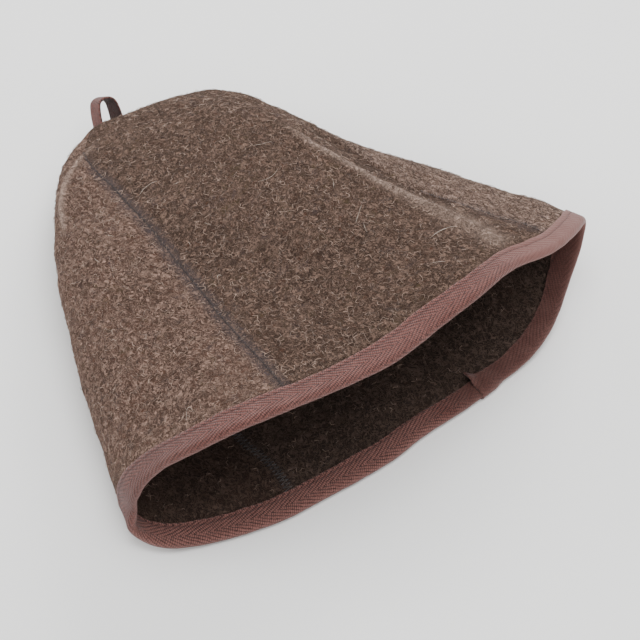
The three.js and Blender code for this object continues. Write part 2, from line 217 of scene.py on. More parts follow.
@dataclass
class HatForm:
    """The outer surface of the felt, as closed sections round the tip.

    A pair of sizes for the rim's line holds the size near the floor and what it gains at the top.
    """

    tip: tuple[float, float, float] = (-1.52, 133.24, 25.0)
    plan_reach: float = 276.0
    top_shortening: float = 9.0
    right_bulge: float = 18.0
    right_bulge_width: tuple[float, float] = (0.58, 0.27)
    left_bulge: tuple[float, float] = (5.5, -2.0)
    left_bulge_width: float = 0.5
    left_end_cut: tuple[float, float] = (4.0, 5.0)
    left_end_width: tuple[float, float] = (0.16, 0.14)
    left: Ramp = Ramp(ALL_SHARES, (88, 84.5, 79.5, 70.6, 60, 51.6, 44, 38, 35.3, 34.8))
    right: Ramp = Ramp(ALL_SHARES, (88, 84, 80, 75.6, 73.6, 56.2, 41.4, 36.7, 35.2, 33.6))
    top: Ramp = Ramp(ALL_SHARES, (25, 30.5, 37, 45, 54.5, 63, 71, 77, 81, 84))
    bottom: Ramp = Ramp(ALL_SHARES, (25, 19.5, 11, 4.5, 0, 0, 0, 0, 1.1, 1.4))
    left_waist: Ramp = Ramp(LEFT_SHARES, (25, 24, 22, 24, 26, 24, 20, 16))
    left_square: Ramp = Ramp(LEFT_SHARES, (2, 2, 2, 2.2, 2.4, 2.8, 3.2, 3.6))
    left_round: Ramp = Ramp(LEFT_SHARES, (0.5, 0.5, 0.5, 0.5, 0.5, 0.48, 0.45, 0.42))
    right_waist: Ramp = Ramp(RIGHT_SHARES, (25, 25, 28, 31, 35, 37, 39))
    right_square: Ramp = Ramp(RIGHT_SHARES, (2, 2, 2, 2.1, 2.3, 2.5, 2.6))
    right_round: Ramp = Ramp(RIGHT_SHARES, (0.5, 0.5, 0.5, 0.55, 0.7, 0.85, 0.95))
    left_under_round: float = 0.42
    right_under_round: float = 0.62
    floor_press: float = 3.0
    floor_press_share: float = 0.2
    floor_gap: float = 0.02
    calm_height: float = 2.0
    lip_waves: tuple[tuple[float, float, float], ...] = (
        (-0.62, 0.28, 7.0), (0.42, 0.20, 5.0), (0.05, 0.35, -4.0))
    rim_trims: tuple[tuple[float, float, float], ...] = (
        (0.118, 0.038, -5.8), (0.245, 0.03, 2.3), (0.325, 0.04, -1.2), (0.5, 0.016, -3.8),
        (0.523, 0.019, -3.9), (0.565, 0.03, 0.4), (0.67, 0.03, -1.8), (0.74, 0.025, 1.6),
        (0.847, 0.038, -4.0), (0.95, 0.03, -1.6), (0.0, 0.02, -1.2))
    creases: tuple[Crease, ...] = (
        Crease(Ramp((0, 1), (0.097, 0.097)), 0.28, 0.99, 12.0, 2.0),
        Crease(Ramp((0, 1), (0.465, 0.465)), 0.03, 0.34, 8.0, 1.8),
    )
    sharp_lines: tuple[Crease, ...] = (
        Crease(Ramp((0, 0.3, 0.42, 0.48, 0.54, 0.6, 0.66, 0.79, 0.87, 1),
                    (0.104, 0.104, 0.1025, 0.1, 0.1, 0.102, 0.1072, 0.106, 0.108, 0.108)),
               0.38, 0.97, 2.2, 1.8, 2.4),
        Crease(Ramp((0, 0.54, 0.6, 0.66, 0.73, 1), (0.052, 0.062, 0.077, 0.086, 0.092, 0.095)),
               0.42, 0.84, 5.0, -1.6),
        Crease(Ramp((0, 0.056, 0.064, 0.085, 0.112, 0.138, 0.165, 0.192, 0.3, 1),
                    (0.2, 0.237, 0.3, 0.35, 0.381, 0.407, 0.426, 0.443, 0.465, 0.48)),
               0.05, 0.36, 2.4, 1.1),
    )
    dents: tuple[Dent, ...] = (
        Dent(0.512, 1.0, 12.5, 4.4), Dent(0.51, 0.885, 11.0, -1.6), Dent(0.052, 0.25, 14.0, 3.6),
        Dent(0.03, 0.336, 11.0, -1.7), Dent(0.014, 0.87, 14.0, -0.5), Dent(0.4, 0.03, 8.0, -1.0),
        Dent(0.446, 1.01, 9.0, 1.6), Dent(0.461, 1.01, 9.0, 2.6), Dent(0.476, 1.01, 9.0, 3.4),
        Dent(0.49, 1.01, 9.0, 3.6), Dent(0.502, 1.01, 8.0, 2.6))
    ridge_fades: tuple[float, float] = (0.08, 0.1)
    ripples: tuple[tuple[float, float, int], ...] = (
        (62, 0.42, 7), (34, 0.24, 9), (17, 0.10, 12), (9, 0.05, 14))
    ripple_spread: tuple[float, float] = (0.8, 1.25)
    ripple_fades: tuple[float, float] = (0.03, 0.1)
    ripple_seed: int = 11
    rows: int = 420
    columns: int = 1200
    first_root: float = 0.028
    softening_passes: int = 150

    def __post_init__(self) -> None:
        """Works out the surface once, on a fine grid."""
        self.roots = np.linspace(self.first_root, 1.0, self.rows)
        share = (self.roots ** 2)[:, None]
        self.points, self.girths = self._sections(share)
        self._lay_frames()
        turn = np.arange(self.columns)[None, :] / self.columns
        self.points += self.normals * self._pressed_ridges(turn, share)[..., None]
        self._lay_frames()
        self.points += self.normals * self._relief(turn, share)[..., None]
        self.points[..., 2] = np.maximum(self.points[..., 2], self.floor_gap)
        self._lay_frames()
        self.grid = np.concatenate([self.points, self.normals, self.rimwards, self.rounds], -1)

    def _reach(self, share: Array, side: Array, rise: Array) -> Array:
        """Gives how far in plan points lie from the tip.

        Args:
            share: Their shares of the way to the rim.
            side: From -1 at the left end of the section to 1 at the right end.
            rise: From 0 at the widest place to 1 at the top.

        Returns:
            The distances in plan.
        """
        def risen(pair: tuple[float, float]) -> Array:
            """Adds to a size what it gains towards the top."""
            return pair[0] + pair[1] * rise

        right = self.right_bulge * ease(side / risen(self.right_bulge_width))
        left = risen(self.left_bulge) * ease(-side / self.left_bulge_width)
        end_width = risen(self.left_end_width)
        end = risen(self.left_end_cut) * ease((-side - 1 + end_width) / end_width)
        return (self.plan_reach * share - self.top_shortening * share ** 2 * rise
                + share ** 3 * (right + left - end))

    def _sections(self, share: Array) -> tuple[Array, Array]:
        """Makes the sections at even steps of girth, worn soft.

        Args:
            share: A column of shares.

        Returns:
            The points, by row and column, and the girth of each row.
        """
        angle = np.linspace(0, 2 * math.pi, self.columns * 2, endpoint=False)[None, :]
        cosine, sine = np.cos(angle), np.sin(angle)
        on_right, on_top = cosine >= 0, sine >= 0
        square = np.where(on_right, self.right_square.at(share), self.left_square.at(share))
        top_round = np.where(on_right, self.right_round.at(share), self.left_round.at(share))
        under_round = np.where(on_right, self.right_under_round, self.left_under_round)
        side = np.sign(cosine) * np.abs(cosine) ** (2 / square)
        rise = np.abs(sine) ** (2 * np.where(on_top, top_round, under_round))
        left_waist, right_waist = self.left_waist.at(share), self.right_waist.at(share)
        waist = left_waist + (right_waist - left_waist) * (1 + side) / 2
        waves = sum(lift * bell(side - at, width) for at, width, lift in self.lip_waves)
        bottom = self.bottom.at(share)
        press = self.floor_press * ease(share / self.floor_press_share)
        over = waist + (self.top.at(share) + share ** 3 * waves - waist) * rise
        under = np.maximum(bottom, waist - (waist - bottom + press) * rise)
        plan = np.radians(np.where(on_right, self.right.at(share), self.left.at(share))) * side
        reach = self._reach(share, side, np.where(on_top, rise, 0.0))
        raw = np.stack([self.tip[0] + reach * np.sin(plan), self.tip[1] - reach * np.cos(plan),
                        np.where(on_top, over, under)], -1)
        even, girths = self._evenly_spaced(raw)
        held = even[..., 2] <= bottom + 1e-6
        floor = even[..., 2].copy()
        for _ in range(self.softening_passes):
            even = 0.5 * even + 0.25 * (np.roll(even, 1, 1) + np.roll(even, -1, 1))
            even[..., 2] = np.where(held, floor, even[..., 2])
        turn = np.arange(self.columns)[None, :] / self.columns
        trim = share ** 6 * sum(push * bell(past(turn, at), width)
                                for at, width, push in self.rim_trims)
        away = unit(even[..., :2] - self.tip[:2])
        even[..., :2] += away * trim[..., None]
        return even, girths

    def _evenly_spaced(self, raw: Array) -> tuple[Array, Array]:
        """Spaces each closed row of points evenly, and measures its girth.

        Args:
            raw: The points, by row and column.

        Returns:
            The evenly spaced points, and the girth of each row.
        """
        even = np.empty((raw.shape[0], self.columns, 3))
        girths = np.empty(raw.shape[0])
        for row, line in enumerate(raw):
            closed = np.vstack([line, line[:1]])
            steps = np.linalg.norm(np.diff(closed, axis=0), axis=1)
            lengths = np.concatenate([[0.0], np.cumsum(steps)])
            girths[row] = lengths[-1]
            wanted = np.arange(self.columns) * lengths[-1] / self.columns
            for axis in range(3):
                even[row, :, axis] = np.interp(wanted, lengths, closed[:, axis])
        return even, girths

    def _lay_frames(self) -> None:
        """Finds each grid point's outward normal and its directions to the rim and round."""
        self.rimwards = unit(np.gradient(self.points, axis=0))
        self.rounds = unit(np.roll(self.points, -2, 1) - np.roll(self.points, 2, 1))
        self.normals = unit(np.cross(self.rounds, self.rimwards))

    def _ridge(self, crease: Crease, turn: Array, share: Array) -> Array:
        """Gives the height of one ridge at each place.

        Args:
            crease: The ridge.
            turn: A row of turns.
            share: A column of shares.

        Returns:
            The heights, by row and column.
        """
        offset = (turn - crease.turns.at(share)) * self.girths[:, None]
        fade = window(share, crease.start, crease.end, *self.ridge_fades)
        return crease.height * fade * bell(offset, crease.half_width)

    def _pressed_ridges(self, turn: Array, share: Array) -> Array:
        """Adds up the main ridges, which the frame has too."""
        return sum(self._ridge(crease, turn, share) for crease in self.creases)

    def _relief(self, turn: Array, share: Array) -> Array:
        """Adds up the sharper lines, the dents and the gentle unevenness of the felt.

        Args:
            turn: A row of turns.
            share: A column of shares.

        Returns:
            The heights, by row and column.
        """
        relief = sum(self._ridge(line, turn, share) for line in self.sharp_lines)
        girth = self.girths[:, None]
        for dent in self.dents:
            along = (share - dent.share) * self.plan_reach
            away = (past(turn, dent.turn) * girth) ** 2 + along ** 2
            relief = relief - dent.depth * np.exp(-away / dent.radius ** 2)
        relief = relief + self._ripples() * window(share, 0, 1, *self.ripple_fades)
        return relief * (1 - ease((self.calm_height - self.points[..., 2]) / self.calm_height))

    def _ripples(self) -> Array:
        """Sums gentle waves of a few lengths, in fixed random directions.

        Returns:
            The heights, by row and column.
        """
        chance = np.random.default_rng(self.ripple_seed)
        total = np.zeros(self.points.shape[:2])
        for length, height, count in self.ripples:
            for _ in range(count):
                way = chance.normal(size=3)
                wave = length * chance.uniform(*self.ripple_spread)
                way *= 2 * math.pi / (wave * np.linalg.norm(way))
                phase = chance.uniform(0, 2 * math.pi)
                total += height / math.sqrt(count / 2) * np.sin(self.points @ way + phase)
        return total

    def girth(self, share: Array | float) -> Array:
        """Gives the girth of the section at a share."""
        return np.interp(np.sqrt(np.clip(share, 0, 1)), self.roots, self.girths)

    def at(self, turn: Array, share: Array) -> tuple[Array, Array, Array, Array]:
        """Reads the surface at places on it.

        Args:
            turn: Shares of the girth, which may run past 0 or 1.
            share: Shares of the way to the rim, of the same shape.

        Returns:
            The points, outward normals, directions to the rim and directions round.
        """
        turn, share = np.broadcast_arrays(np.asarray(turn, float), np.asarray(share, float))
        row = (np.sqrt(np.clip(share, 0, 1)) - self.roots[0]) / (self.roots[1] - self.roots[0])
        row = np.clip(row, 0, self.rows - 1.001)
        column = (turn % 1.0) * self.columns
        r, c = row.astype(int), column.astype(int) % self.columns
        down, across = (row - r)[..., None], (column - np.floor(column))[..., None]
        after = (c + 1) % self.columns
        near = self.grid[r, c] * (1 - across) + self.grid[r, after] * across
        far = self.grid[r + 1, c] * (1 - across) + self.grid[r + 1, after] * across
        found = near * (1 - down) + far * down
        return (found[..., :3], unit(found[..., 3:6]), unit(found[..., 6:9]),
                unit(found[..., 9:12]))


class Graph:
    """Adds nodes to a shader or geometry tree and joins them up."""

    def __init__(self, tree: bpy.types.NodeTree) -> None:
        """Keeps the tree that is being built."""
        self.tree = tree

    def add(self, kind: str, settings: dict | None = None, inputs: dict | None = None) -> Node:
        """Adds one node.

        Args:
            kind: The node's type name.
            settings: Values for the node's own properties.
            inputs: Values or sockets for its inputs, by name or number.

        Returns:
            The node.
        """
        node = self.tree.nodes.new(kind)
        for name, value in (settings or {}).items():
            setattr(node, name, value)
        self.feed_all(node, inputs or {})
        return node

    def feed(self, socket: Socket, value: Value) -> None:
        """Joins a socket to an input, or sets the input's own value."""
        if isinstance(value, Socket):
            self.tree.links.new(value, socket)
        else:
            socket.default_value = value

    def feed_all(self, node: Node, values: dict[str | int, Value]) -> None:
        """Feeds a node's inputs, by name or number."""
        for name, value in values.items():
            self.feed(node.inputs[name], value)

    def math(self, operation: str, first: Value, second: Value = 0.0,
             third: Value = 0.0) -> Socket:
        """Adds a Math node and returns its value."""
        node = self.add("ShaderNodeMath", {"operation": operation},
                        {0: first, 1: second, 2: third})
        return node.outputs[0]

    def times(self, first: Value, second: Value) -> Socket:
        """Multiplies two values."""
        return self.math("MULTIPLY", first, second)

    def vector(self, operation: str, first: Value, second: Value) -> Socket:
        """Adds a Vector Math node and returns its vector."""
        node = self.add("ShaderNodeVectorMath", {"operation": operation}, {0: first, 1: second})
        return node.outputs[0]

    def scaled(self, vector: Socket, size: Value) -> Socket:
        """Returns a vector times a number, or times one number for each axis.

        Args:
            vector: The vector.
            size: A number or a socket, or three numbers.

        Returns:
            The new vector.
        """
        if isinstance(size, tuple):
            return self.vector("MULTIPLY", vector, size)
        node = self.add("ShaderNodeVectorMath", {"operation": "SCALE"}, {0: vector, "Scale": size})
        return node.outputs[0]

    def combined(self, x: Value = 0.0, y: Value = 0.0, z: Value = 0.0) -> Socket:
        """Makes a vector of three values."""
        return self.add("ShaderNodeCombineXYZ", None, {"X": x, "Y": y, "Z": z}).outputs[0]

    def noise(self, vector: Socket, scale: float, detail: float = 2.0,
              rough: float = 0.5) -> Socket:
        """Adds a Noise Texture and returns its value."""
        node = self.add("ShaderNodeTexNoise", None, {
            "Vector": vector, "Scale": scale, "Detail": detail, "Roughness": rough})
        return node.outputs["Fac"]

    def swayed(self, place: Socket, scale: float, reach: tuple[float, float, float]) -> Socket:
        """Moves a pattern's place to and fro by a soft noise.

        Args:
            place: The place.
            scale: The noise's scale.
            reach: How far each axis moves, between its two ends.

        Returns:
            The moved place.
        """
        node = self.add("ShaderNodeTexNoise", None, {
            "Vector": place, "Scale": scale, "Detail": 2.0})
        sway = self.vector("SUBTRACT", node.outputs["Color"], (0.5, 0.5, 0.5))
        return self.vector("ADD", place, self.scaled(sway, reach))

    def span(self, value: Socket, low: float, high: float, start: float = 0.0,
             end: float = 1.0) -> Socket:
        """Maps a value's range smoothly on to another one."""
        node = self.add("ShaderNodeMapRange", {"interpolation_type": "SMOOTHSTEP"}, {
            "Value": value, "From Min": low, "From Max": high, "To Min": start, "To Max": end})
        return node.outputs["Result"]

    def mix(self, share: Value, first: Value, second: Value) -> Socket:
        """Mixes two colours.

        Args:
            share: How much of the second one there is.
            first: The first colour.
            second: The second colour.

        Returns:
            The mixed colour.
        """
        node = self.add("ShaderNodeMix", {"data_type": "RGBA", "blend_type": "MIX"})
        self.feed(node.inputs["Factor"], share)
        for letter, colour in (("A", first), ("B", second)):
            self.feed([s for s in node.inputs if s.name == letter and s.type == "RGBA"][0], colour)
        return [s for s in node.outputs if s.type == "RGBA"][0]

    def cover(self, colour: Socket, tint: Value, value: Value, most: Value) -> Socket:
        """Covers a colour with a tint.

        Args:
            colour: The colour so far.
            tint: The colour that goes over it.
            value: Where the tint lies.
            most: How much the tint hides where the value is 1.

        Returns:
            The covered colour.
        """
        return self.mix(self.times(value, most), colour, tint)

    def attribute(self, name: str, output: str = "Vector") -> Socket:
        """Reads one of the mesh's own attributes."""
        return self.add("ShaderNodeAttribute", {"attribute_name": name}).outputs[output]

    def bump(self, height: Socket, depth: float) -> Socket:
        """Adds a Bump node with a depth in millimetres and returns its normal."""
        node = self.add("ShaderNodeBump", None, {
            "Height": height, "Distance": depth * MM, "Strength": 1.0})
        return node.outputs["Normal"]


def paint(red: int, green: int, blue: int) -> Colour:
    """Turns a colour of 0 to 255 as a screen shows it into linear light.

    Args:
        red: The red part.
        green: The green part.
        blue: The blue part.

    Returns:
        The linear colour with a full alpha.
    """
    parts = [part / 255 for part in (red, green, blue)]
    line = [p / 12.92 if p <= 0.04045 else ((p + 0.055) / 1.055) ** 2.4 for p in parts]
    return (line[0], line[1], line[2], 1.0)


def shader_group(name: str, inputs: dict[str, str],
                 outputs: tuple[str, ...]) -> tuple[bpy.types.NodeTree, Graph, Node, Node]:
    """Starts a shader node group.

    Args:
        name: The group's name.
        inputs: The socket type of each input, by name.
        outputs: The name of each output, a number.

    Returns:
        The group, its Graph, its input node and its output node.
    """
    tree = bpy.data.node_groups.new(name, "ShaderNodeTree")
    for socket, kind in inputs.items():
        tree.interface.new_socket(socket, in_out="INPUT", socket_type=kind)
    for socket in outputs:
        tree.interface.new_socket(socket, in_out="OUTPUT", socket_type=FLOAT)
    graph = Graph(tree)
    return tree, graph, graph.add("NodeGroupInput"), graph.add("NodeGroupOutput")


class PatternStore:
    """The shader groups of the shared patterns, each built once."""

    _made: dict[Pattern, bpy.types.NodeTree] = {}

    @classmethod
    def place(cls, graph: Graph, pattern: Pattern, inputs: dict[str, Value]) -> Node:
        """Puts a shared pattern's group into a material.

        Args:
            graph: The material's graph.
            pattern: Which pattern.
            inputs: Values or sockets for the group's inputs.

        Returns:
            The group node.
        """
        if pattern not in cls._made:
            builders = {Pattern.WOOL: cls._wool, Pattern.BLOTCHES: cls._blotches,
                        Pattern.TWILL: cls._twill, Pattern.TWIST: cls._twist}
            cls._made[pattern] = builders[pattern]()
        return graph.add("ShaderNodeGroup", {"node_tree": cls._made[pattern]}, inputs)

    @staticmethod
    def _wool() -> bpy.types.NodeTree:
        """Matted wool: fine curled strands, pale and dark, over specks and hollows.

        Returns:
            The group.
        """
        tree, graph, given, result = shader_group(
            "matted_wool", {"Place": VECTOR, "Strand Width": FLOAT},
            ("Strands", "Gaps", "Specks", "Hollows", "Height"))
        curl_scale, curl_reach = 0.3, (8.0, 8.0, 0.0)
        layer_degrees = (8, 97, 39, 128, 68, 157)
        strand_shape = (0.07, 0.32, 1.0)
        core, edge = 0.008, 0.05
        heights = {"pale": 0.55, "dark": -0.4, "clumps": 0.75, "specks": 0.6}
        bent = graph.swayed(given.outputs["Place"], curl_scale, curl_reach)
        size = graph.math("DIVIDE", 1.0, given.outputs["Strand Width"])
        fine = graph.scaled(bent, size)
        sums = {"pale": None, "dark": None}
        for layer, degrees in enumerate(layer_degrees):
            kind = "dark" if layer % 3 == 2 else "pale"
            turned = graph.add("ShaderNodeVectorRotate", {"rotation_type": "Z_AXIS"}, {
                "Vector": fine, "Angle": math.radians(degrees)})
            drawn = graph.scaled(turned.outputs[0], strand_shape)
            moved = graph.vector("ADD", drawn, (17.0 * layer, 5.0 * layer, 3.0 * layer))
            line = graph.noise(moved, 1.0, 1.0, 0.4)
            far = graph.math("ABSOLUTE", graph.math("SUBTRACT", line, 0.5))
            thread = graph.span(far, core, edge, 1.0, 0.0)
            broken = graph.span(graph.noise(moved, 1.3, 0.0), 0.44, 0.54)
            thread = graph.times(thread, broken)
            known = sums[kind]
            sums[kind] = thread if known is None else graph.math("MAXIMUM", known, thread)
        specks = graph.noise(bent, 1.2, 2.0, 0.78)
        clumps = graph.noise(bent, 0.4, 3.0, 0.62)
        height = graph.times(sums["pale"], heights["pale"])
        for name, part in (("clumps", clumps), ("specks", specks), ("dark", sums["dark"])):
            height = graph.math("ADD", height, graph.times(part, heights[name]))
        graph.feed_all(result, {
            "Strands": sums["pale"], "Gaps": sums["dark"], "Specks": specks,
            "Hollows": graph.span(clumps, 0.36, 0.6, 1.0, 0.0), "Height": height})
        return tree

    @staticmethod
    def _blotches() -> bpy.types.NodeTree:
        """Soft uneven dye: independent patches of a few sizes.

        Returns:
            The group.
        """
        patches = {"Warm": (0.0, 0.19, 0.55, 0.72), "Olive": (31.0, 0.16, 0.55, 0.74),
                   "Cool": (67.0, 0.12, 0.55, 0.75), "Shade": (89.0, 0.13, 0.36, 0.64),
                   "Broad": (103.0, 0.034, 0.38, 0.62)}
        tree, graph, given, result = shader_group("uneven_dye", {"Place": VECTOR}, tuple(patches))
        for name, (shift, scale, low, high) in patches.items():
            moved = graph.vector("ADD", given.outputs["Place"],
                                 (shift, shift * 0.7, shift * 0.3))
            patch = graph.span(graph.noise(moved, scale, 2.5, 0.6), low, high)
            graph.feed(result.inputs[name], patch)
        return tree

    @staticmethod
    def _twill() -> bpy.types.NodeTree:
        """Herringbone twill: slanting ribs of small knots whose slant turns at each column.

        Returns:
            The group.
        """
        tree, graph, given, result = shader_group(
            "herringbone_twill",
            {"Place": VECTOR, "Column Width": FLOAT, "Rib Pitch": FLOAT, "Slope": FLOAT,
             "Selvedge": FLOAT, "Tape Width": FLOAT},
            ("Ribs", "Knots", "Selvedge", "Height"))
        sizes = given.outputs
        parts = graph.add("ShaderNodeSeparateXYZ", None, {0: sizes["Place"]})
        along, across = parts.outputs["X"], parts.outputs["Y"]
        inside = graph.math("SUBTRACT", across, sizes["Selvedge"])
        folded = graph.math("PINGPONG", inside, sizes["Column Width"])
        slant = graph.math("ADD", along, graph.times(folded, sizes["Slope"]))
        pitch = graph.math("DIVIDE", math.pi, sizes["Rib Pitch"])
        ribs = graph.math("ABSOLUTE", graph.math("COSINE", graph.times(slant, pitch)))
        knot_pitch, knot_height, knot_way = 1.15, 0.45, (0.906, 0.423)
        run = graph.math("SUBTRACT", graph.times(along, knot_way[0]),
                         graph.times(folded, knot_way[1]))
        knot = graph.math("COSINE", graph.times(run, 2 * math.pi / knot_pitch))
        knots = graph.math("MULTIPLY_ADD", knot, 0.5, 0.5)
        rim = graph.math("PINGPONG", across, graph.times(sizes["Tape Width"], 0.5))
        selvedge = graph.span(graph.math("DIVIDE", rim, sizes["Selvedge"]), 0.75, 1.15, 1.0, 0.0)
        height = graph.math("ADD", ribs, graph.times(knots, knot_height))
        graph.feed_all(result, {"Ribs": ribs, "Knots": knots, "Selvedge": selvedge,
                                "Height": height})
        return tree

    @staticmethod
    def _twist() -> bpy.types.NodeTree:
        """Fine twisted thread, as spots of light and shade in the surface.

        Returns:
            The group.
        """
        tree, graph, given, result = shader_group("twisted_thread", {"Place": VECTOR}, ("Height",))
        fine_scale = 2600.0
        graph.feed(result.inputs["Height"], graph.noise(given.outputs["Place"], fine_scale))
        return tree


def new_material(name: str) -> tuple[bpy.types.Material, Graph, Node]:
    """Starts a material.

    Args:
        name: The finish's name.

    Returns:
        The material, its Graph and its Principled BSDF.
    """
    material = bpy.data.materials.new(name)
    material.use_nodes = True
    graph = Graph(material.node_tree)
    return material, graph, material.node_tree.nodes["Principled BSDF"]


@dataclass(frozen=True)
class WoolFelt:
    """Thick matted wool, mottled, with pale and dark strands.

    Each cover is how much of what lies under it a tint hides at most.
    """

    name: str
    ground: Colour
    body: Colour
    strand: Colour
    warm: Colour = paint(86, 50, 36)
    olive: Colour = paint(72, 62, 38)
    cool: Colour = paint(64, 57, 62)
    seam_tint: Colour = paint(60, 54, 57)
    seam_core: Colour = paint(28, 23, 24)
    # Pale band along raised creases: partly real wear, partly a painted highlight where the ridge
    # catches light.
    worn: Colour = paint(188, 164, 150)
    # Painted shade: the inner face is darkened to stand in for the shade inside the hat.
    painted_inside_shade: Colour = paint(32, 28, 27)
    sheen: Colour = paint(214, 184, 164)
    shade_cover: float = 0.4
    hollow_cover: float = 0.14
    warm_cover: float = 0.5
    olive_cover: float = 0.45
    cool_cover: float = 0.5
    broad_cover: float = 0.48
    worn_cover: float = 0.8
    gap_cover: float = 0.55
    strand_cover: float = 0.86
    band_cover: float = 0.8
    haze_cover: float = 0.42
    core_cover: float = 0.25
    valley_cover: float = 0.4
    inside_shade_cover: float = 0.6
    strand_width: float = 0.41
    nap_depth: float = 1.0
    roughness: float = 0.97

    def _mottled(self, graph: Graph, place: Socket, wool: Node, band: Socket) -> Socket:
        """Mixes the wool's own colours, with the seam's tint under the strands.

        Args:
            graph: The material's graph.
            place: The place on the cut piece, in millimetres.
            wool: The matted wool group.
            band: How much of the seam's tint shows.

        Returns:
            The colour of the felt.
        """
        dye = PatternStore.place(graph, Pattern.BLOTCHES, {"Place": place}).outputs
        matted = wool.outputs
        colour = graph.mix(graph.span(matted["Specks"], 0.22, 0.64), self.ground, self.body)
        for tint, patch, most in (
                (self.ground, dye["Shade"], self.shade_cover),
                (self.ground, matted["Hollows"], self.hollow_cover),
                (self.warm, dye["Warm"], self.warm_cover),
                (self.olive, dye["Olive"], self.olive_cover),
                (self.cool, dye["Cool"], self.cool_cover),
                (self.ground, dye["Broad"], self.broad_cover)):
            colour = graph.cover(colour, tint, patch, most)
        colour = graph.mix(band, colour, self.seam_tint)
        # The pale band along raised creases is partly wear and partly painted highlight; strands
        # there pale too.
        patchy = graph.span(matted["Specks"], 0.42, 0.58, 0.3, 1.0)
        worn = graph.times(graph.attribute("worn", "Fac"), patchy)
        colour = graph.cover(colour, self.worn, worn, self.worn_cover)
        colour = graph.cover(colour, self.ground, matted["Gaps"], self.gap_cover)
        strand = graph.mix(worn, self.strand, self.worn)
        return graph.cover(colour, strand, matted["Strands"], self.strand_cover)

    def material(self) -> bpy.types.Material:
        """Makes the felt's material.

        Returns:
            The material.
        """
        material, graph, shader = new_material(self.name)
        place = graph.attribute("cut_place")
        wool = PatternStore.place(graph, Pattern.WOOL, {
            "Place": place, "Strand Width": self.strand_width})
        near, force = graph.attribute("seam_near", "Fac"), graph.attribute("seam_force", "Fac")
        ragged = graph.math("MULTIPLY_ADD", graph.noise(place, 0.55, 3.0, 0.75), 1.5, -0.75)
        band = graph.span(graph.math("ADD", near, ragged), 0.0, 0.85, 0.0, self.band_cover)
        band = graph.times(band, force)
        close = graph.math("MULTIPLY_ADD", ragged, 0.25, near)
        core = graph.span(close, 0.94, 1.02, 0.0, self.core_cover)
        colour = self._mottled(graph, place, wool, band)
        for tint, patch, most in (
                (self.seam_tint, band, self.haze_cover), (self.seam_core, core, force),
                # Painted shade along the sunk creases.
                (self.ground, graph.attribute("valley", "Fac"), self.valley_cover),
                # Painted shade on the inner face, which the gore marks as shaded.
                (self.painted_inside_shade, graph.attribute("shaded", "Fac"), self.inside_shade_cover)):
            colour = graph.cover(colour, tint, patch, most)
        graph.feed_all(shader, {
            "Base Color": colour, "Normal": graph.bump(wool.outputs["Height"], self.nap_depth),
            "Roughness": self.roughness, "Specular IOR Level": 0.1, "Sheen Weight": 0.12,
            "Sheen Roughness": 0.6, "Sheen Tint": self.sheen})
        return material


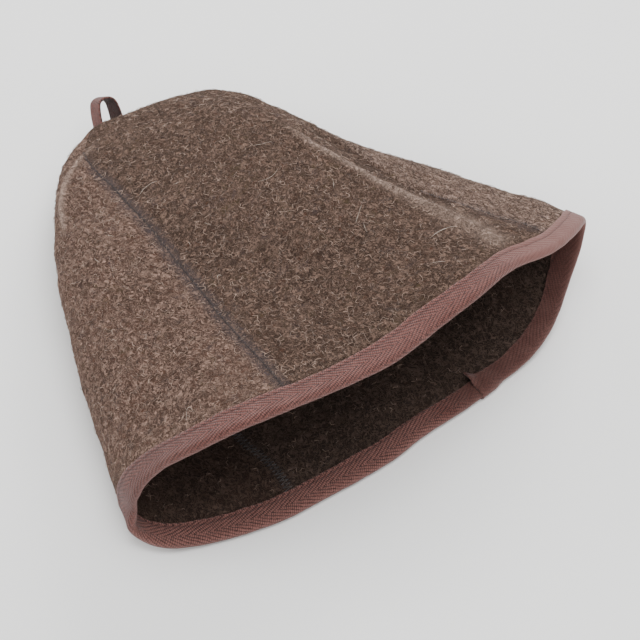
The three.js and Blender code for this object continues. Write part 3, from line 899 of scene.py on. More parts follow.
@dataclass(frozen=True)
class TwillTape:
    """Herringbone twill tape with painted light and painted shade in places, plainer where it is
    rubbed.

    Each cover is how much of what lies under it a tint hides at most.
    """

    name: str = "twill_tape"
    body: Colour = paint(112, 66, 59)
    gap: Colour = paint(36, 16, 14)
    pale: Colour = paint(150, 104, 96)
    rubbed: Colour = paint(104, 71, 65)
    painted_shade_tone: Colour = paint(36, 26, 22)
    column_width: float = 6.9
    rib_pitch: float = 4.0
    slope: float = 2.14
    selvedge: float = 1.0
    tape_width: float = TAPE_WIDTH
    weave_depth: float = 0.4
    drift_cover: float = 0.35
    painted_light_cover: float = 0.65
    selvedge_cover: float = 0.5
    fuzz_cover: float = 0.6
    rubbed_cover: float = 0.75
    painted_shade_cover: float = 0.5
    fold_highlight_cover: float = 0.25
    line_and_shade_cover: float = 0.35
    rubbed_off: float = 0.75
    weave_hidden_in_shade: float = 0.5
    line_rubbed_off: float = 0.6
    roughness: float = 0.8

    def _kept(self, graph: Graph, place: Socket, rubbed: Socket, painted_shade: Socket) -> Socket:
        """Gives how much of the weave is left to see.

        Args:
            graph: The material's graph.
            place: The place on the flat tape, in millimetres.
            rubbed: Where the tape is rubbed.
            painted_shade: Where shade is painted on the tape.

        Returns:
            The share of the weave that is left.
        """
        kept = graph.math("MULTIPLY_ADD", rubbed, -self.rubbed_off, 1.0)
        kept = graph.math("MULTIPLY_ADD", graph.times(painted_shade, painted_shade), -self.weave_hidden_in_shade, kept)
        return graph.times(kept, graph.span(graph.noise(place, 0.5, 3.0, 0.7), 0.35, 0.6, 0.55))

    def material(self) -> bpy.types.Material:
        """Makes the tape's material.

        Returns:
            The material.
        """
        material, graph, shader = new_material(self.name)
        place = graph.attribute("tape_place")
        twill = PatternStore.place(graph, Pattern.TWILL, {
            "Place": graph.swayed(place, 0.2, (1.3, 1.0, 0.0)),
            "Column Width": self.column_width, "Rib Pitch": self.rib_pitch,
            "Slope": self.slope, "Selvedge": self.selvedge, "Tape Width": self.tape_width}).outputs
        # The fade mark paints light where it is above 0 and shade where it is below 0.
        rubbed, fade = graph.attribute("rubbed", "Fac"), graph.attribute("fade", "Fac")
        painted_shade = graph.math("MAXIMUM", graph.times(fade, -1.0), 0.0)
        kept = self._kept(graph, place, rubbed, painted_shade)
        drift = graph.span(graph.noise(place, 0.12, 3.0, 0.6), 0.35, 0.7, 0.0, self.drift_cover)
        fuzz = graph.span(graph.noise(place, 1.6, 2.0, 0.75), 0.48, 0.72)
        grit = graph.span(graph.noise(place, 2.4, 2.0, 0.8), 0.34, 0.5, 0.6, 0.0)
        # The stitch line mark is a real stitch line on the rim tape, and painted shade on the
        # loop's inner layer.
        line = graph.times(graph.attribute("stitch_line", "Fac"), self.line_and_shade_cover)
        colour = graph.mix(drift, self.body, self.pale)
        for tint, patch, most in (
                # Painted light where the fade mark is above 0.
                (self.pale, graph.math("MAXIMUM", fade, 0.0), self.painted_light_cover),
                (self.pale, twill["Selvedge"], self.selvedge_cover),
                (self.gap, graph.span(twill["Ribs"], 0.15, 0.8, 1.0, 0.0), kept),
                (self.gap, graph.span(twill["Knots"], 0.1, 0.8, 0.8, 0.0), kept),
                (self.pale, fuzz, self.fuzz_cover),
                (self.rubbed, rubbed, self.rubbed_cover),
                # Painted shade where the fade mark is below 0.
                (self.painted_shade_tone, painted_shade, self.painted_shade_cover),
                (self.gap, grit, graph.math("MULTIPLY_ADD", kept, 0.6, 0.25)),
                # Painted highlight along the tape's fold.
                (self.pale, graph.attribute("fold_edge", "Fac"), self.fold_highlight_cover),
                (self.gap, line, graph.math("MULTIPLY_ADD", rubbed, -self.line_rubbed_off, 1.0))):
            colour = graph.cover(colour, tint, patch, most)
        graph.feed_all(shader, {
            "Base Color": colour,
            "Normal": graph.bump(graph.times(twill["Height"], kept), self.weave_depth),
            "Roughness": self.roughness, "Specular IOR Level": 0.25, "Sheen Weight": 0.15,
            "Sheen Roughness": 0.5})
        return material


@dataclass(frozen=True)
class Thread:
    """Sewing thread or a loose fibre of one shade."""

    name: str
    shade: Colour
    dark: Colour
    roughness: float = 0.7
    sheen: float = 0.1
    grain: float = 320.0
    twist_depth: float = 0.05

    def material(self) -> bpy.types.Material:
        """Makes the thread's material.

        Returns:
            The material.
        """
        material, graph, shader = new_material(self.name)
        where = graph.add("ShaderNodeTexCoord").outputs["Object"]
        twist = PatternStore.place(graph, Pattern.TWIST, {"Place": where})
        tone = graph.span(graph.noise(where, self.grain, 1.0), 0.3, 0.7)
        graph.feed_all(shader, {
            "Base Color": graph.mix(tone, self.dark, self.shade),
            "Normal": graph.bump(twist.outputs["Height"], self.twist_depth),
            "Roughness": self.roughness, "Sheen Weight": self.sheen})
        return material


def linked(name: str, data: bpy.types.ID) -> bpy.types.Object:
    """Makes an object from a mesh, a light or a camera and links it to the scene.

    Args:
        name: The object's name.
        data: Its mesh, light or camera.

    Returns:
        The object.
    """
    thing = bpy.data.objects.new(name, data)
    bpy.context.scene.collection.objects.link(thing)
    return thing


def mesh_object(name: str, points: Array, faces: Array | list, edges: list | None = None,
                smooth: bool = True) -> bpy.types.Object:
    """Makes a mesh object from points in millimetres.

    Args:
        name: The object's name.
        points: The points, one row each.
        faces: The corners of each face.
        edges: The ends of each loose edge.
        smooth: Whether the faces are shaded smooth.

    Returns:
        The object, linked to the scene.
    """
    mesh = bpy.data.meshes.new(name)
    mesh.from_pydata((np.asarray(points) * MM).tolist(), edges or [], np.asarray(faces).tolist())
    mesh.polygons.foreach_set("use_smooth", [smooth] * len(mesh.polygons))
    mesh.update()
    return linked(name, mesh)


def add_attribute(thing: bpy.types.Object, name: str, values: Array) -> None:
    """Stores one number or vector at each point of an object's mesh.

    Args:
        thing: The object.
        name: The attribute's name.
        values: One number or one row of three for each point.
    """
    values = np.asarray(values, np.float32)
    if values.ndim == 2:
        thing.data.attributes.new(name, "FLOAT_VECTOR", "POINT").data.foreach_set(
            "vector", values.ravel())
    else:
        thing.data.attributes.new(name, "FLOAT", "POINT").data.foreach_set("value", values)


def ring_faces(rows: int, width: int) -> Array:
    """Joins closed rings of points with quads.

    Args:
        rows: How many rings there are.
        width: How many points each ring has.

    Returns:
        The quads, facing outwards where the rings turn as the felt's do.
    """
    row, column = np.meshgrid(np.arange(rows - 1), np.arange(width), indexing="ij")
    after = (column + 1) % width
    return np.stack([row * width + column, row * width + after, (row + 1) * width + after,
                     (row + 1) * width + column], -1).reshape(-1, 4)


def both_faces(front: Array, back: Array) -> Array:
    """Joins the two faces of a sheet, each by row and column, in the order of its points."""
    return np.concatenate([front, back[:, ::-1]], 1).reshape(-1, *front.shape[2:])


def sheet_object(name: str, front: Array, back: Array, turned: bool = False) -> bpy.types.Object:
    """Makes a closed sheet from the points of its two faces.

    Args:
        name: The object's name.
        front: The points of one face, by row and column.
        back: The points of the other face, in the same order.
        turned: Whether the rows run the other way round than the felt's.

    Returns:
        The object, linked to the scene.
    """
    rows, half = front.shape[:2]
    across = np.arange(half - 1)
    beyond = 2 * half - 1 - across
    first_cap = np.stack([across + 1, across, beyond, beyond - 1], -1)
    last_cap = np.stack([across, across + 1, beyond - 1, beyond], -1) + (rows - 1) * 2 * half
    faces = np.concatenate([ring_faces(rows, 2 * half), first_cap, last_cap])
    return mesh_object(name, both_faces(front, back), faces[:, ::-1] if turned else faces)


@dataclass(frozen=True)
class SeamLine:
    """Where two gores meet, and how the seam shows."""

    name: str
    turns: Ramp
    tint: float
    groove: float
    fades: tuple[float, float] = (0.0, 0.05)

    def force(self, share: Array) -> Array:
        """Gives how strongly the seam shows at each share."""
        first, full = self.fades
        return self.tint * ease((share - first) / (full - first))


TOP_LEFT_SEAM = SeamLine("seam_top_left", Ramp(
    (0, 0.1, 0.22, 0.3, 0.47, 0.64, 0.87, 1),
    (0.405, 0.402, 0.377, 0.366, 0.346, 0.339, 0.3365, 0.33)),
    1.0, 0.12, (0.09, 0.24))
UNDER_SEAM = SeamLine("seam_under", Ramp(
    (0, 0.4, 0.8, 0.93, 1), (0.69, 0.655, 0.643, 0.653, 0.653)), 0.8, 0.35)
RIGHT_SEAM = SeamLine("seam_right", Ramp(
    (0, 0.42, 0.54, 0.64, 0.72, 0.85, 0.93, 1),
    (0, 0.02, 0.05, 0.077, 0.089, 0.081, 0.068, 0.063)),
    0.55, 0.3, (0.7, 0.92))


@dataclass
class FeltGore:
    """One gore of felt, a closed sheet with rounded edges between two seams.

    A pair of fades is the length of the first slope and of the last one, in shares. The band of
    wear and painted highlight starts to fan out at fan_start, over fan_length. Loose fibres end at
    nap_end near the tape, and leave out what lies within nap_clear of the floor.
    """

    name: str
    node: str
    slot: str
    start: SeamLine
    end: SeamLine
    flat: tuple[float, float]
    columns: int
    rows: int = 155
    row_power: float = 1.25
    first_share: float = 0.0025
    edge_steps: tuple[float, ...] = (0.0, 0.12, 0.3, 0.55, 0.9, 1.4)
    narrow: float = 12.0
    thickness: float = FELT_THICKNESS
    gap: float = 0.12
    edge_round: float = 0.45
    groove_width: float = 1.8
    groove_fade: float = 0.05
    floor_gap: float = 0.01
    seam_reach: float = 7.0
    inner_near: float = 0.9
    inner_force: float = 0.5
    inner_shift: float = 90.0
    crease_mark_width: float = 0.95
    crease_mark_fades: tuple[float, float] = (0.14, 0.05)
    fan_start: float = 0.62
    fan_length: float = 0.25
    fan_paling: float = 0.4
    nap_end: float = 0.948
    nap_fade: float = 0.008
    nap_clear: float = 0.7
    nap_rise: float = 0.6
    inner_nap: float = 0.3
    nap_seed: int = 5
    fibre_lengths: tuple[float, float] = (0.0034, 0.0026)

    def turns(self, share: Array) -> tuple[Array, Array]:
        """Gives the turns of the two seams beside this gore at each share."""
        start, end = self.start.turns.at(share), self.end.turns.at(share)
        return start, np.where(end < start, end + 1.0, end)

    def _grid(self, form: HatForm) -> tuple[Array, Array, Array, Array]:
        """Lays out rows and columns, closer together at the seams.

        Args:
            form: The felt's outer surface.

        Returns:
            The share, turn and distances to both seams, each by row and column.
        """
        share = (self.first_share
                 + (1 - self.first_share) * np.linspace(0, 1, self.rows) ** self.row_power)
        share = share[:, None]
        start, end = self.turns(share)
        girth = form.girth(share)
        width = (end - start) * girth - self.gap
        near = np.array(self.edge_steps)[None, :] * np.minimum(1.0, width / self.narrow)
        inner = np.linspace(0, 1, self.columns)[None, :]
        middle = near[:, -1:] + (width - 2 * near[:, -1:]) * inner
        from_start = np.concatenate([near[:, :-1], middle, width - near[:, -2::-1]], 1)
        turn = start + (self.gap / 2 + from_start) / girth
        return (np.broadcast_to(share, turn.shape), turn, from_start, width - from_start)

    def _worn(self, form: HatForm, share: Array, turn: Array, raised: bool) -> Array:
        """Gives wear and painted highlight along raised lines, or painted shade along sunk ones.

        Args:
            form: The felt's outer surface.
            share: The shares, by row and column.
            turn: The turns, by row and column.
            raised: Whether the raised lines are meant.

        Returns:
            The mask, from 0 to 1, by row and column.
        """
        worn = np.zeros(share.shape)
        for line in form.sharp_lines:
            if (line.height > 0) is raised:
                offset = (turn - line.turns.at(share)) * form.girth(share)
                spread = 1.0 + line.fan * ease((share - self.fan_start) / self.fan_length)
                hump = bell(offset, line.half_width * self.crease_mark_width * spread)
                fade = window(share, line.start, line.end, *self.crease_mark_fades)
                worn = np.maximum(worn, fade * hump / spread ** self.fan_paling)
        return worn

    def build(self, form: HatForm) -> bpy.types.Object:
        """Makes the gore's mesh with the attributes that its finish reads.

        Args:
            form: The felt's outer surface.

        Returns:
            The gore.
        """
        share, turn, from_start, from_end = self._grid(form)
        point, normal, _, _ = form.at(turn, share)
        edge = np.minimum(from_start, from_end)
        inside = np.clip(self.edge_round - edge, 0, self.edge_round)
        drop = self.edge_round - np.sqrt(self.edge_round ** 2 - inside ** 2)
        groove = np.where(from_start < from_end, self.start.groove, self.end.groove)
        dip = groove * bell(edge, self.groove_width) * ease((1 - share) / self.groove_fade)
        outer = point - normal * (drop + dip)[..., None]
        inner = point - normal * (self.thickness - drop)[..., None]
        outer[..., 2] = np.maximum(outer[..., 2], self.floor_gap)
        thing = sheet_object(self.name, outer, inner)
        self._mark(thing, form, share, turn, from_start, from_end)
        return thing

    def _mark(self, thing: bpy.types.Object, form: HatForm, share: Array, turn: Array,
              from_start: Array, from_end: Array) -> None:
        """Stores the flat pattern's coordinates, seam tint, wear, painted light and shade, and
        nap.

        Args:
            thing: The gore.
            form: The felt's outer surface.
            share: The shares, by row and column.
            turn: The turns, by row and column.
            from_start: The distances from the first seam.
            from_end: The distances from the last seam.
        """
        start, end = self.turns(share)
        none = np.zeros(share.shape)
        radius = share * form.plan_reach
        swing = (turn - (start + end) / 2) * form.girth(share) / radius
        flat = np.stack([radius * np.sin(swing), radius * np.cos(swing), none], -1)
        near = np.clip(1 - np.minimum(from_start, from_end) / self.seam_reach, 0, 1)
        force = np.where(from_start < from_end, self.start.force(share), self.end.force(share))
        napped = ease((self.nap_end - share) / self.nap_fade)
        height = form.at(turn, share)[0][..., 2]
        off_floor = ease((height - self.nap_clear) / self.nap_rise)
        for name, front, back in (
                ("cut_place", flat, flat + (0.0, 0.0, self.inner_shift)),
                ("seam_near", near, near * self.inner_near),
                ("seam_force", force, force * self.inner_force),
                # Raised creases get the pale band, partly wear and partly painted highlight.
                ("worn", self._worn(form, share, turn, True), none),
                # Sunk creases get painted shade.
                ("valley", self._worn(form, share, turn, False), none),
                ("nap_outer", napped * off_floor, none),
                ("nap_inner", none, napped * self.inner_nap),
                # The inner face is marked shaded for the painted shade inside the hat.
                ("shaded", none, none + 1.0)):
            add_attribute(thing, name, both_faces(front, back))

    def dress(self, thing: bpy.types.Object, finish: WoolFelt) -> None:
        """Gives the gore its finish and its body, and hides the frame's own gore.

        Args:
            thing: The gore.
            finish: The gore's felt.
        """
        thing.data.materials.append(finish.material())
        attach(thing, BODY)
        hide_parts(self.node)

    def nap(self, thing: bpy.types.Object, recipe: WoolNap, finish: Thread,
            side: Side) -> bpy.types.Object:
        """Strews loose fibres over one face of the gore.

        Args:
            thing: The gore.
            recipe: The recipe for loose fibres.
            finish: The fibres' finish.
            side: Which face they lie on.

        Returns:
            The fibres as one piece.
        """
        name = f"{self.name.replace('felt', 'nap')}_{side.name.lower()}"
        seed = float(self.nap_seed + side.value + len(name))
        mesh = thing.data.copy()
        mesh.name = name
        mesh.attributes[f"nap_{side.name.lower()}"].name = "nap"
        fuzz = linked(name, mesh)
        recipe.make(fuzz, finish.material(), seed=seed, length=self.fibre_lengths[side.value])
        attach(fuzz, BODY)
        return fuzz


class Recipe:
    """A Geometry Nodes tree that makes what repeats, and the plain mesh it turns into."""

    name = "recipe"
    radius = "Thread Radius"
    sizes: dict[str, float] = {}

    def __init__(self) -> None:
        """Builds the tree with its named inputs."""
        self.tree = bpy.data.node_groups.new(self.name, "GeometryNodeTree")
        face = self.tree.interface
        face.new_socket("Geometry", in_out="INPUT", socket_type="NodeSocketGeometry")
        for size in self.sizes:
            face.new_socket(size, in_out="INPUT", socket_type=FLOAT)
        face.new_socket("Finish", in_out="INPUT", socket_type="NodeSocketMaterial")
        face.new_socket("Geometry", in_out="OUTPUT", socket_type="NodeSocketGeometry")
        self.graph = Graph(self.tree)
        self.given = self.graph.add("NodeGroupInput")
        made = self.grow(self.given.outputs["Geometry"])
        real = self.graph.add("GeometryNodeRealizeInstances", None, {"Geometry": made})
        finish = self.graph.add("GeometryNodeSetMaterial", None, {
            "Geometry": real.outputs[0], "Material": self.given.outputs["Finish"]})
        result = self.graph.add("NodeGroupOutput")
        self.graph.feed(result.inputs[0], finish.outputs[0])

    def grow(self, base: Socket) -> Socket:
        """Adds the nodes that make the repeated pieces, and returns their geometry."""
        return base

    def named(self, name: str, kind: str = "FLOAT") -> Socket:
        """Reads a named attribute of the base mesh."""
        node = self.graph.add("GeometryNodeInputNamedAttribute", {"data_type": kind},
                              {"Name": name})
        return node.outputs["Attribute"]

    def swept(self, line: Socket, sides: Value) -> Node:
        """Sweeps a ring of the recipe's own radius along a line, with its ends closed."""
        ring = self.graph.add("GeometryNodeCurvePrimitiveCircle", None, {
            "Resolution": sides, "Radius": self.given.outputs[self.radius]})
        return self.graph.add("GeometryNodeCurveToMesh", None, {
            "Curve": line, "Profile Curve": ring.outputs[0], "Fill Caps": True})

    def chance(self, low: float, high: float, shift: float = 0.0) -> Socket:
        """Draws a number for each place, with the recipe's seed plus a shift.

        Args:
            low: The smallest number.
            high: The largest number.
            shift: What is added to the seed.

        Returns:
            The number.
        """
        seed = self.graph.math("ADD", self.given.outputs["Seed"], shift)
        node = self.graph.add("FunctionNodeRandomValue", {"data_type": "FLOAT"},
                              {2: low, 3: high, "Seed": seed})
        return node.outputs[1]

    def make(self, thing: bpy.types.Object, finish: bpy.types.Material,
             **sizes: float) -> bpy.types.Object:
        """Turns a base mesh into the finished pieces.

        Args:
            thing: The object that holds the points, lines or faces to work on.
            finish: The finish of the result.
            sizes: Sizes that differ from the recipe's own, by their names in lower case.

        Returns:
            The same object, with a plain mesh and no modifier.
        """
        modifier = thing.modifiers.new(self.name, "NODES")
        modifier.node_group = self.tree
        wanted = {name: sizes.get(name.lower().replace(" ", "_"), value)
                  for name, value in self.sizes.items()}
        for item in self.tree.interface.items_tree:
            if item.item_type == "SOCKET" and item.in_out == "INPUT":
                if item.name in wanted:
                    modifier[item.identifier] = float(wanted[item.name])
                elif item.name == "Finish":
                    modifier[item.identifier] = finish
        thing.update_tag()
        graph = bpy.context.evaluated_depsgraph_get()
        made = bpy.data.meshes.new_from_object(thing.evaluated_get(graph), depsgraph=graph)
        thing.modifiers.remove(modifier)
        old, thing.data = thing.data, made
        made.name = thing.name
        bpy.data.meshes.remove(old)
        made.materials.clear()
        made.materials.append(finish)
        made.polygons.foreach_set("use_smooth", [True] * len(made.polygons))
        return thing


class StitchRow(Recipe):
    """One arched stitch at each point, laid along that point's own direction."""

    name = "stitch_row"
    sizes = {"Thread Radius": 0.0002, "Arch": 0.0003, "Seed": 3.0}
    length_spread = (0.9, 1.08)

    def grow(self, base: Socket) -> Socket:
        """Makes an arch of thread and sets it along each point's direction.

        Args:
            base: The points.

        Returns:
            The stitches.
        """
        graph = self.graph
        arch = graph.add("GeometryNodeCurveQuadraticBezier", None, {
            "Resolution": 4, "Start": (-0.5, 0, 0), "End": (0.5, 0, 0),
            "Middle": graph.combined(z=self.given.outputs["Arch"])})
        thread = self.swept(arch.outputs[0], 5)
        turned = graph.add("FunctionNodeAxesToRotation", {
            "primary_axis": "Z", "secondary_axis": "X"}, {
                0: self.named("up", "FLOAT_VECTOR"), 1: self.named("along", "FLOAT_VECTOR")})
        length = graph.times(self.named("reach"), self.chance(*self.length_spread))
        set_down = graph.add("GeometryNodeInstanceOnPoints", None, {
            "Points": base, "Instance": thread.outputs[0], "Rotation": turned.outputs[0],
            "Scale": graph.combined(length, 1.0, 1.0)})
        return set_down.outputs[0]


class ThreadRun(Recipe):
    """A round thread or rib along each line of the base mesh."""

    name = "thread_run"
    sizes = {"Thread Radius": 0.0002, "Sides": 6.0}

    def grow(self, base: Socket) -> Socket:
        """Sweeps a ring along every line, thinner where the line's own thickness says so.

        Args:
            base: The lines.

        Returns:
            The threads.
        """
        line = self.graph.add("GeometryNodeMeshToCurve", None, {"Mesh": base})
        thread = self.swept(line.outputs[0], self.given.outputs["Sides"])
        self.graph.feed(thread.inputs["Scale"], self.named("thick"))
        return thread.outputs[0]


class WoolNap(Recipe):
    """Loose curled fibres that lie on a surface."""

    name = "wool_nap"
    radius = "Fibre Radius"
    size_spread = (0.45, 1.5)
    shapes = ((0.1, 1.2, 0.9, 0.5), (0.3, 1.1, -1.3, 1.0), (-0.6, -0.9, -1.4, 0.2))
    sizes = {"Density": 64000.0, "Fibre Radius": 0.000095, "Length": 0.0034, "Lift": 0.0004,
             "Seed": 5.0}

    def grow(self, base: Socket) -> Socket:
        """Strews a bow, a wave and a curl over the faces, turned and sized at random.

        Args:
            base: The faces.

        Returns:
            The fibres.
        """
        graph, given = self.graph, self.given.outputs
        spots = graph.add("GeometryNodeDistributePointsOnFaces", {"distribute_method": "RANDOM"}, {
            "Mesh": base, "Density": graph.times(given["Density"], self.named("nap")),
            "Seed": given["Seed"]})
        choice = graph.add("GeometryNodeGeometryToInstance")
        half = graph.times(given["Length"], 0.5)
        start = graph.combined(graph.times(half, -1.0))
        for reach, first, second, tail in self.shapes:
            bows = [graph.combined(graph.times(half, reach * way), graph.times(half, bow),
                                   given["Lift"]) for way, bow in ((-1, first), (1, second))]
            end = graph.combined(half, z=graph.times(given["Lift"], tail))
            line = graph.add("GeometryNodeCurvePrimitiveBezierSegment", None, {
                "Resolution": 5, "Start": start, "Start Handle": bows[0],
                "End Handle": bows[1], "End": end})
            graph.feed(choice.inputs[0], self.swept(line.outputs[0], 3).outputs[0])
        about = graph.combined(z=self.chance(0.0, 2 * math.pi, 1.0))
        turned = graph.add("FunctionNodeRotateRotation", {"rotation_space": "LOCAL"}, {
            0: spots.outputs["Rotation"], 1: about})
        strewn = graph.add("GeometryNodeInstanceOnPoints", None, {
            "Points": spots.outputs["Points"], "Instance": choice.outputs[0],
            "Pick Instance": True, "Rotation": turned.outputs[0],
            "Scale": self.chance(*self.size_spread, 2.0)})
        return strewn.outputs[0]


@dataclass
class ZigzagSeam:
    """The zigzag stitches that hold two butted gores together, on one face of the felt."""

    line: SeamLine
    side: Side
    width: float = 1.6
    pitch: float = 1.4
    thread_radius: float = 0.09
    sink: float = 0.24
    first_share: float = 0.03
    last_share: float = 0.955
    floor_gap: float = 0.25

    def build(self, form: HatForm, recipe: StitchRow, finish: Thread) -> bpy.types.Object:
        """Makes the row of stitches.

        Args:
            form: The felt's outer surface.
            recipe: The recipe for stitches.
            finish: The thread's finish.

        Returns:
            The stitches as one piece.
        """
        first_share = self.first_share + self.line.fades[0] * (self.side is Side.OUTER)
        steps = int((self.last_share - first_share) * form.plan_reach / (self.pitch / 2))
        share = np.linspace(first_share, self.last_share, steps)
        zig = np.where(np.arange(steps) % 2 == 0, 0.5, -0.5) * self.width
        turn = self.line.turns.at(share) + zig / form.girth(share)
        point, normal, _, _ = form.at(turn, share)
        depth = FELT_THICKNESS + self.sink if self.side is Side.INNER else -self.sink
        lift = -1.0 if self.side is Side.INNER else 1.0
        point = point - normal * depth
        point[..., 2] = np.maximum(point[..., 2], self.floor_gap)
        centre = (point[1:] + point[:-1]) / 2
        step = point[1:] - point[:-1]
        name = f"{self.line.name}_stitches_{self.side.name.lower()}"
        base = mesh_object(name, centre, [])
        add_attribute(base, "along", unit(step))
        add_attribute(base, "up", (normal[1:] + normal[:-1]) / 2 * lift)
        add_attribute(base, "reach", np.linalg.norm(step, axis=1) * MM)
        thing = recipe.make(base, finish.material(), thread_radius=self.thread_radius * MM)
        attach(thing, BODY)
        return thing


@dataclass
class RimBinding:
    """The tape folded over the felt's cut edge, one strip with a lapped join.

    A part of the round is its start, its end and the lengths of its two slopes, in turns.
    """

    tape_width: float = TAPE_WIDTH
    tape: float = 0.8
    under_share: float = 0.8
    felt: float = FELT_THICKNESS
    gap: float = 0.35
    fold: float = 1.5
    fold_leg: float = 1.6
    legs: tuple[tuple[float, float], ...] = (
        (0.0, 10.0), (0.05, 9.6), (0.09, 10.2), (0.13, 12.0), (0.17, 12.6), (0.21, 14.0),
        (0.26, 13.8), (0.3, 12.2), (0.35, 13.2), (0.42, 13.0), (0.5, 12.6), (0.6, 12.0),
        (0.7, 12.0), (0.77, 13.0), (0.82, 14.6), (0.92, 14.8), (0.96, 12.5))
    leg_smoothing: float = 0.012
    leg_wander: float = 0.22
    rubbed_turn: float = 0.04
    rubbed_width: float = 0.08
    rubbed_inside: float = 0.4
    outside_angle: float = 2.6
    inside_start: float = 1.2
    inside_length: float = 0.8
    fold_width: float = 0.5
    line_width: float = 0.6
    # Painted light on the inner leg of the lower lip's left part; painted shade on its right part
    # and on the outer leg at the upper left corner.
    lit_part: tuple[float, float, float, float] = (0.46, 0.82, 0.04, 0.06)
    shaded_part: tuple[float, float, float, float] = (0.765, 1.0, 0.06, 0.02)
    corner_turn: float = 0.455
    corner_width: float = 0.055
    corner_shade: float = 0.62
    join_turn: float = 0.8225
    overlap: float = 0.013
    lap_lift: float = 0.9
    lap_slope: float = 9.0
    popped: float = 3.9
    popped_width: float = 4.5
    popped_leg: float = 4.0
    popped_slope: float = 5.0
    popped_angle: float = 2.0
    slipped: float = 4.0
    slipped_width: float = 0.0085
    edge_press: float = 0.22
    wave: float = 0.09
    wave_counts: tuple[int, ...] = (7, 11, 16, 23, 31, 44, 58)
    pucker: float = 0.05
    floor_gap: float = 0.02
    stitch_edge: float = 3.0
    stitch_pitch: float = 3.0
    stitch_share: float = 0.72
    stitch_radius: float = 0.16
    spare_stitches: int = 4
    first_stitch: float = 1.4
    inner_margin: float = 1.0
    groove: float = 0.26
    groove_width: float = 0.55
    stations: int = 700
    seed: int = 23

    @property
    def fold_length(self) -> float:
        """The tape's length round the fold, in millimetres."""
        reach = self.felt / 2 + self.gap + self.tape
        depth = self.fold + self.fold_leg
        return math.pi * math.sqrt((reach ** 2 + depth ** 2) / 2)

    def outer_leg(self, turn: Array) -> Array:
        """Gives how much tape lies on the felt's outer face, at turns round the rim.

        Args:
            turn: The turns.

        Returns:
            The widths, in millimetres.
        """
        turns, sizes = np.array(self.legs).T
        steps = np.linspace(-self.leg_smoothing, self.leg_smoothing, 9)
        legs = [np.interp((turn + step) % 1.0, turns, sizes, period=1.0) for step in steps]
        return np.mean(legs, axis=0) + self.leg_wander * self._wander(turn, 3)

    def inner_leg(self, turn: Array) -> Array:
        """Gives how much tape lies on the felt's inner face, at turns round the rim."""
        spare = self.tape_width - self.fold_length + 2 * self.fold_leg
        return spare - self.outer_leg(turn)

    def _wander(self, turn: Array, stream: int) -> Array:
        """Sums whole waves round the rim, so that its ends agree.

        Args:
            turn: The turns.
            stream: Which of the independent sums is meant.

        Returns:
            The sum at each turn, mostly between -2 and 2.
        """
        chance = np.random.default_rng([self.seed, stream])
        total = np.zeros(np.shape(turn))
        for count in self.wave_counts:
            phase = chance.uniform(0, 2 * math.pi)
            total = total + np.sin(2 * math.pi * count * turn + phase) * chance.uniform(0.4, 1.0)
        return total / 2.0

    def _profile(self, turn: Array) -> tuple[Array, Array, Array]:
        """Lays out the tape across its width.

        Args:
            turn: A column of turns.

        Returns:
            The distance back from the cut edge, the angle round the fold and the distance
            across the tape, each by turn and column.
        """
        first = np.concatenate([[0.0, 0.02], np.linspace(0.055, 1, 22)])[None, :]
        last = np.concatenate([np.linspace(0, 0.945, 20), [0.98, 1.0]])[None, :]
        angle = np.linspace(0, math.pi, 13)[None, 1:-1]
        slipped = self.slipped * bell(turn - self.join_turn, self.slipped_width)
        outer, inner = self.outer_leg(turn), self.inner_leg(turn) + slipped
        leg_out = outer + (self.fold_leg - outer) * first
        leg_fold = self.fold_leg * (1 - np.sin(angle)) + 0 * turn
        leg_in = self.fold_leg + (inner - self.fold_leg) * last
        round_fold = outer - self.fold_leg + self.fold_length * angle / math.pi
        beyond = outer - self.fold_leg + self.fold_length + leg_in - self.fold_leg
        leg = np.concatenate([leg_out, leg_fold, leg_in], 1)
        angles = np.concatenate([0 * leg_out, angle + 0 * turn, 0 * leg_in + math.pi], 1)
        return leg, angles, np.concatenate([outer - leg_out, round_fold, beyond], 1)

    def _place(self, form: HatForm, turn: Array, leg: Array, angle: Array,
               lift: Array) -> tuple[Array, Array]:
        """Sets places of the tape round the felt's edge.

        Args:
            form: The felt's outer surface.
            turn: The turns.
            leg: The distances back from the cut edge.
            angle: The angles round the fold, from 0 outside to pi inside.
            lift: How far each place stands off where the tape lies flat.

        Returns:
            The points and the tape's outward directions.
        """
        point, normal, rimward, _ = form.at(turn, 1 - leg / form.plan_reach)
        reach = self.felt / 2 + self.gap + self.tape
        cosine, sine = np.cos(angle)[..., None], np.sin(angle)[..., None]
        away = normal * cosine + rimward * sine
        off = normal * (reach * cosine - self.felt / 2) + rimward * (self.fold * sine)
        return point + off + away * lift[..., None], away

    def _lift(self, form: HatForm, along: Array, turn: Array, leg: Array,
              angle: Array) -> Array:
        """Gives how far the tape stands off where it would lie flat.

        Args:
            form: The felt's outer surface.
            along: How far along the strip each place is, in turns.
            turn: The turns.
            leg: The distances back from the cut edge.
            angle: The angles round the fold.

        Returns:
            The lap, the popped corner, the stitch groove and the small waves in one.
        """
        run = along * form.girth(1.0)
        lap = self.lap_lift * (1 - ease((run - self.overlap * form.girth(1.0)) / self.lap_slope))
        corner = bell(run, self.popped_width) * ease((leg - self.popped_leg) / self.popped_slope)
        corner = corner * (angle > self.popped_angle)
        seat = self.outer_leg(turn) - self.stitch_edge
        groove = -self.groove * bell(leg - seat, self.groove_width)
        hold = ease(np.abs(leg - seat) / self.stitch_edge)
        waves = self.wave * self._wander(turn, 5) * hold
        pucker = self.pucker * np.sin(2 * math.pi * run / self.stitch_pitch) * (1 - hold)
        lift = lap + self.popped * corner + groove + waves + pucker
        lift[:, [0, -1]] -= self.edge_press
        return lift

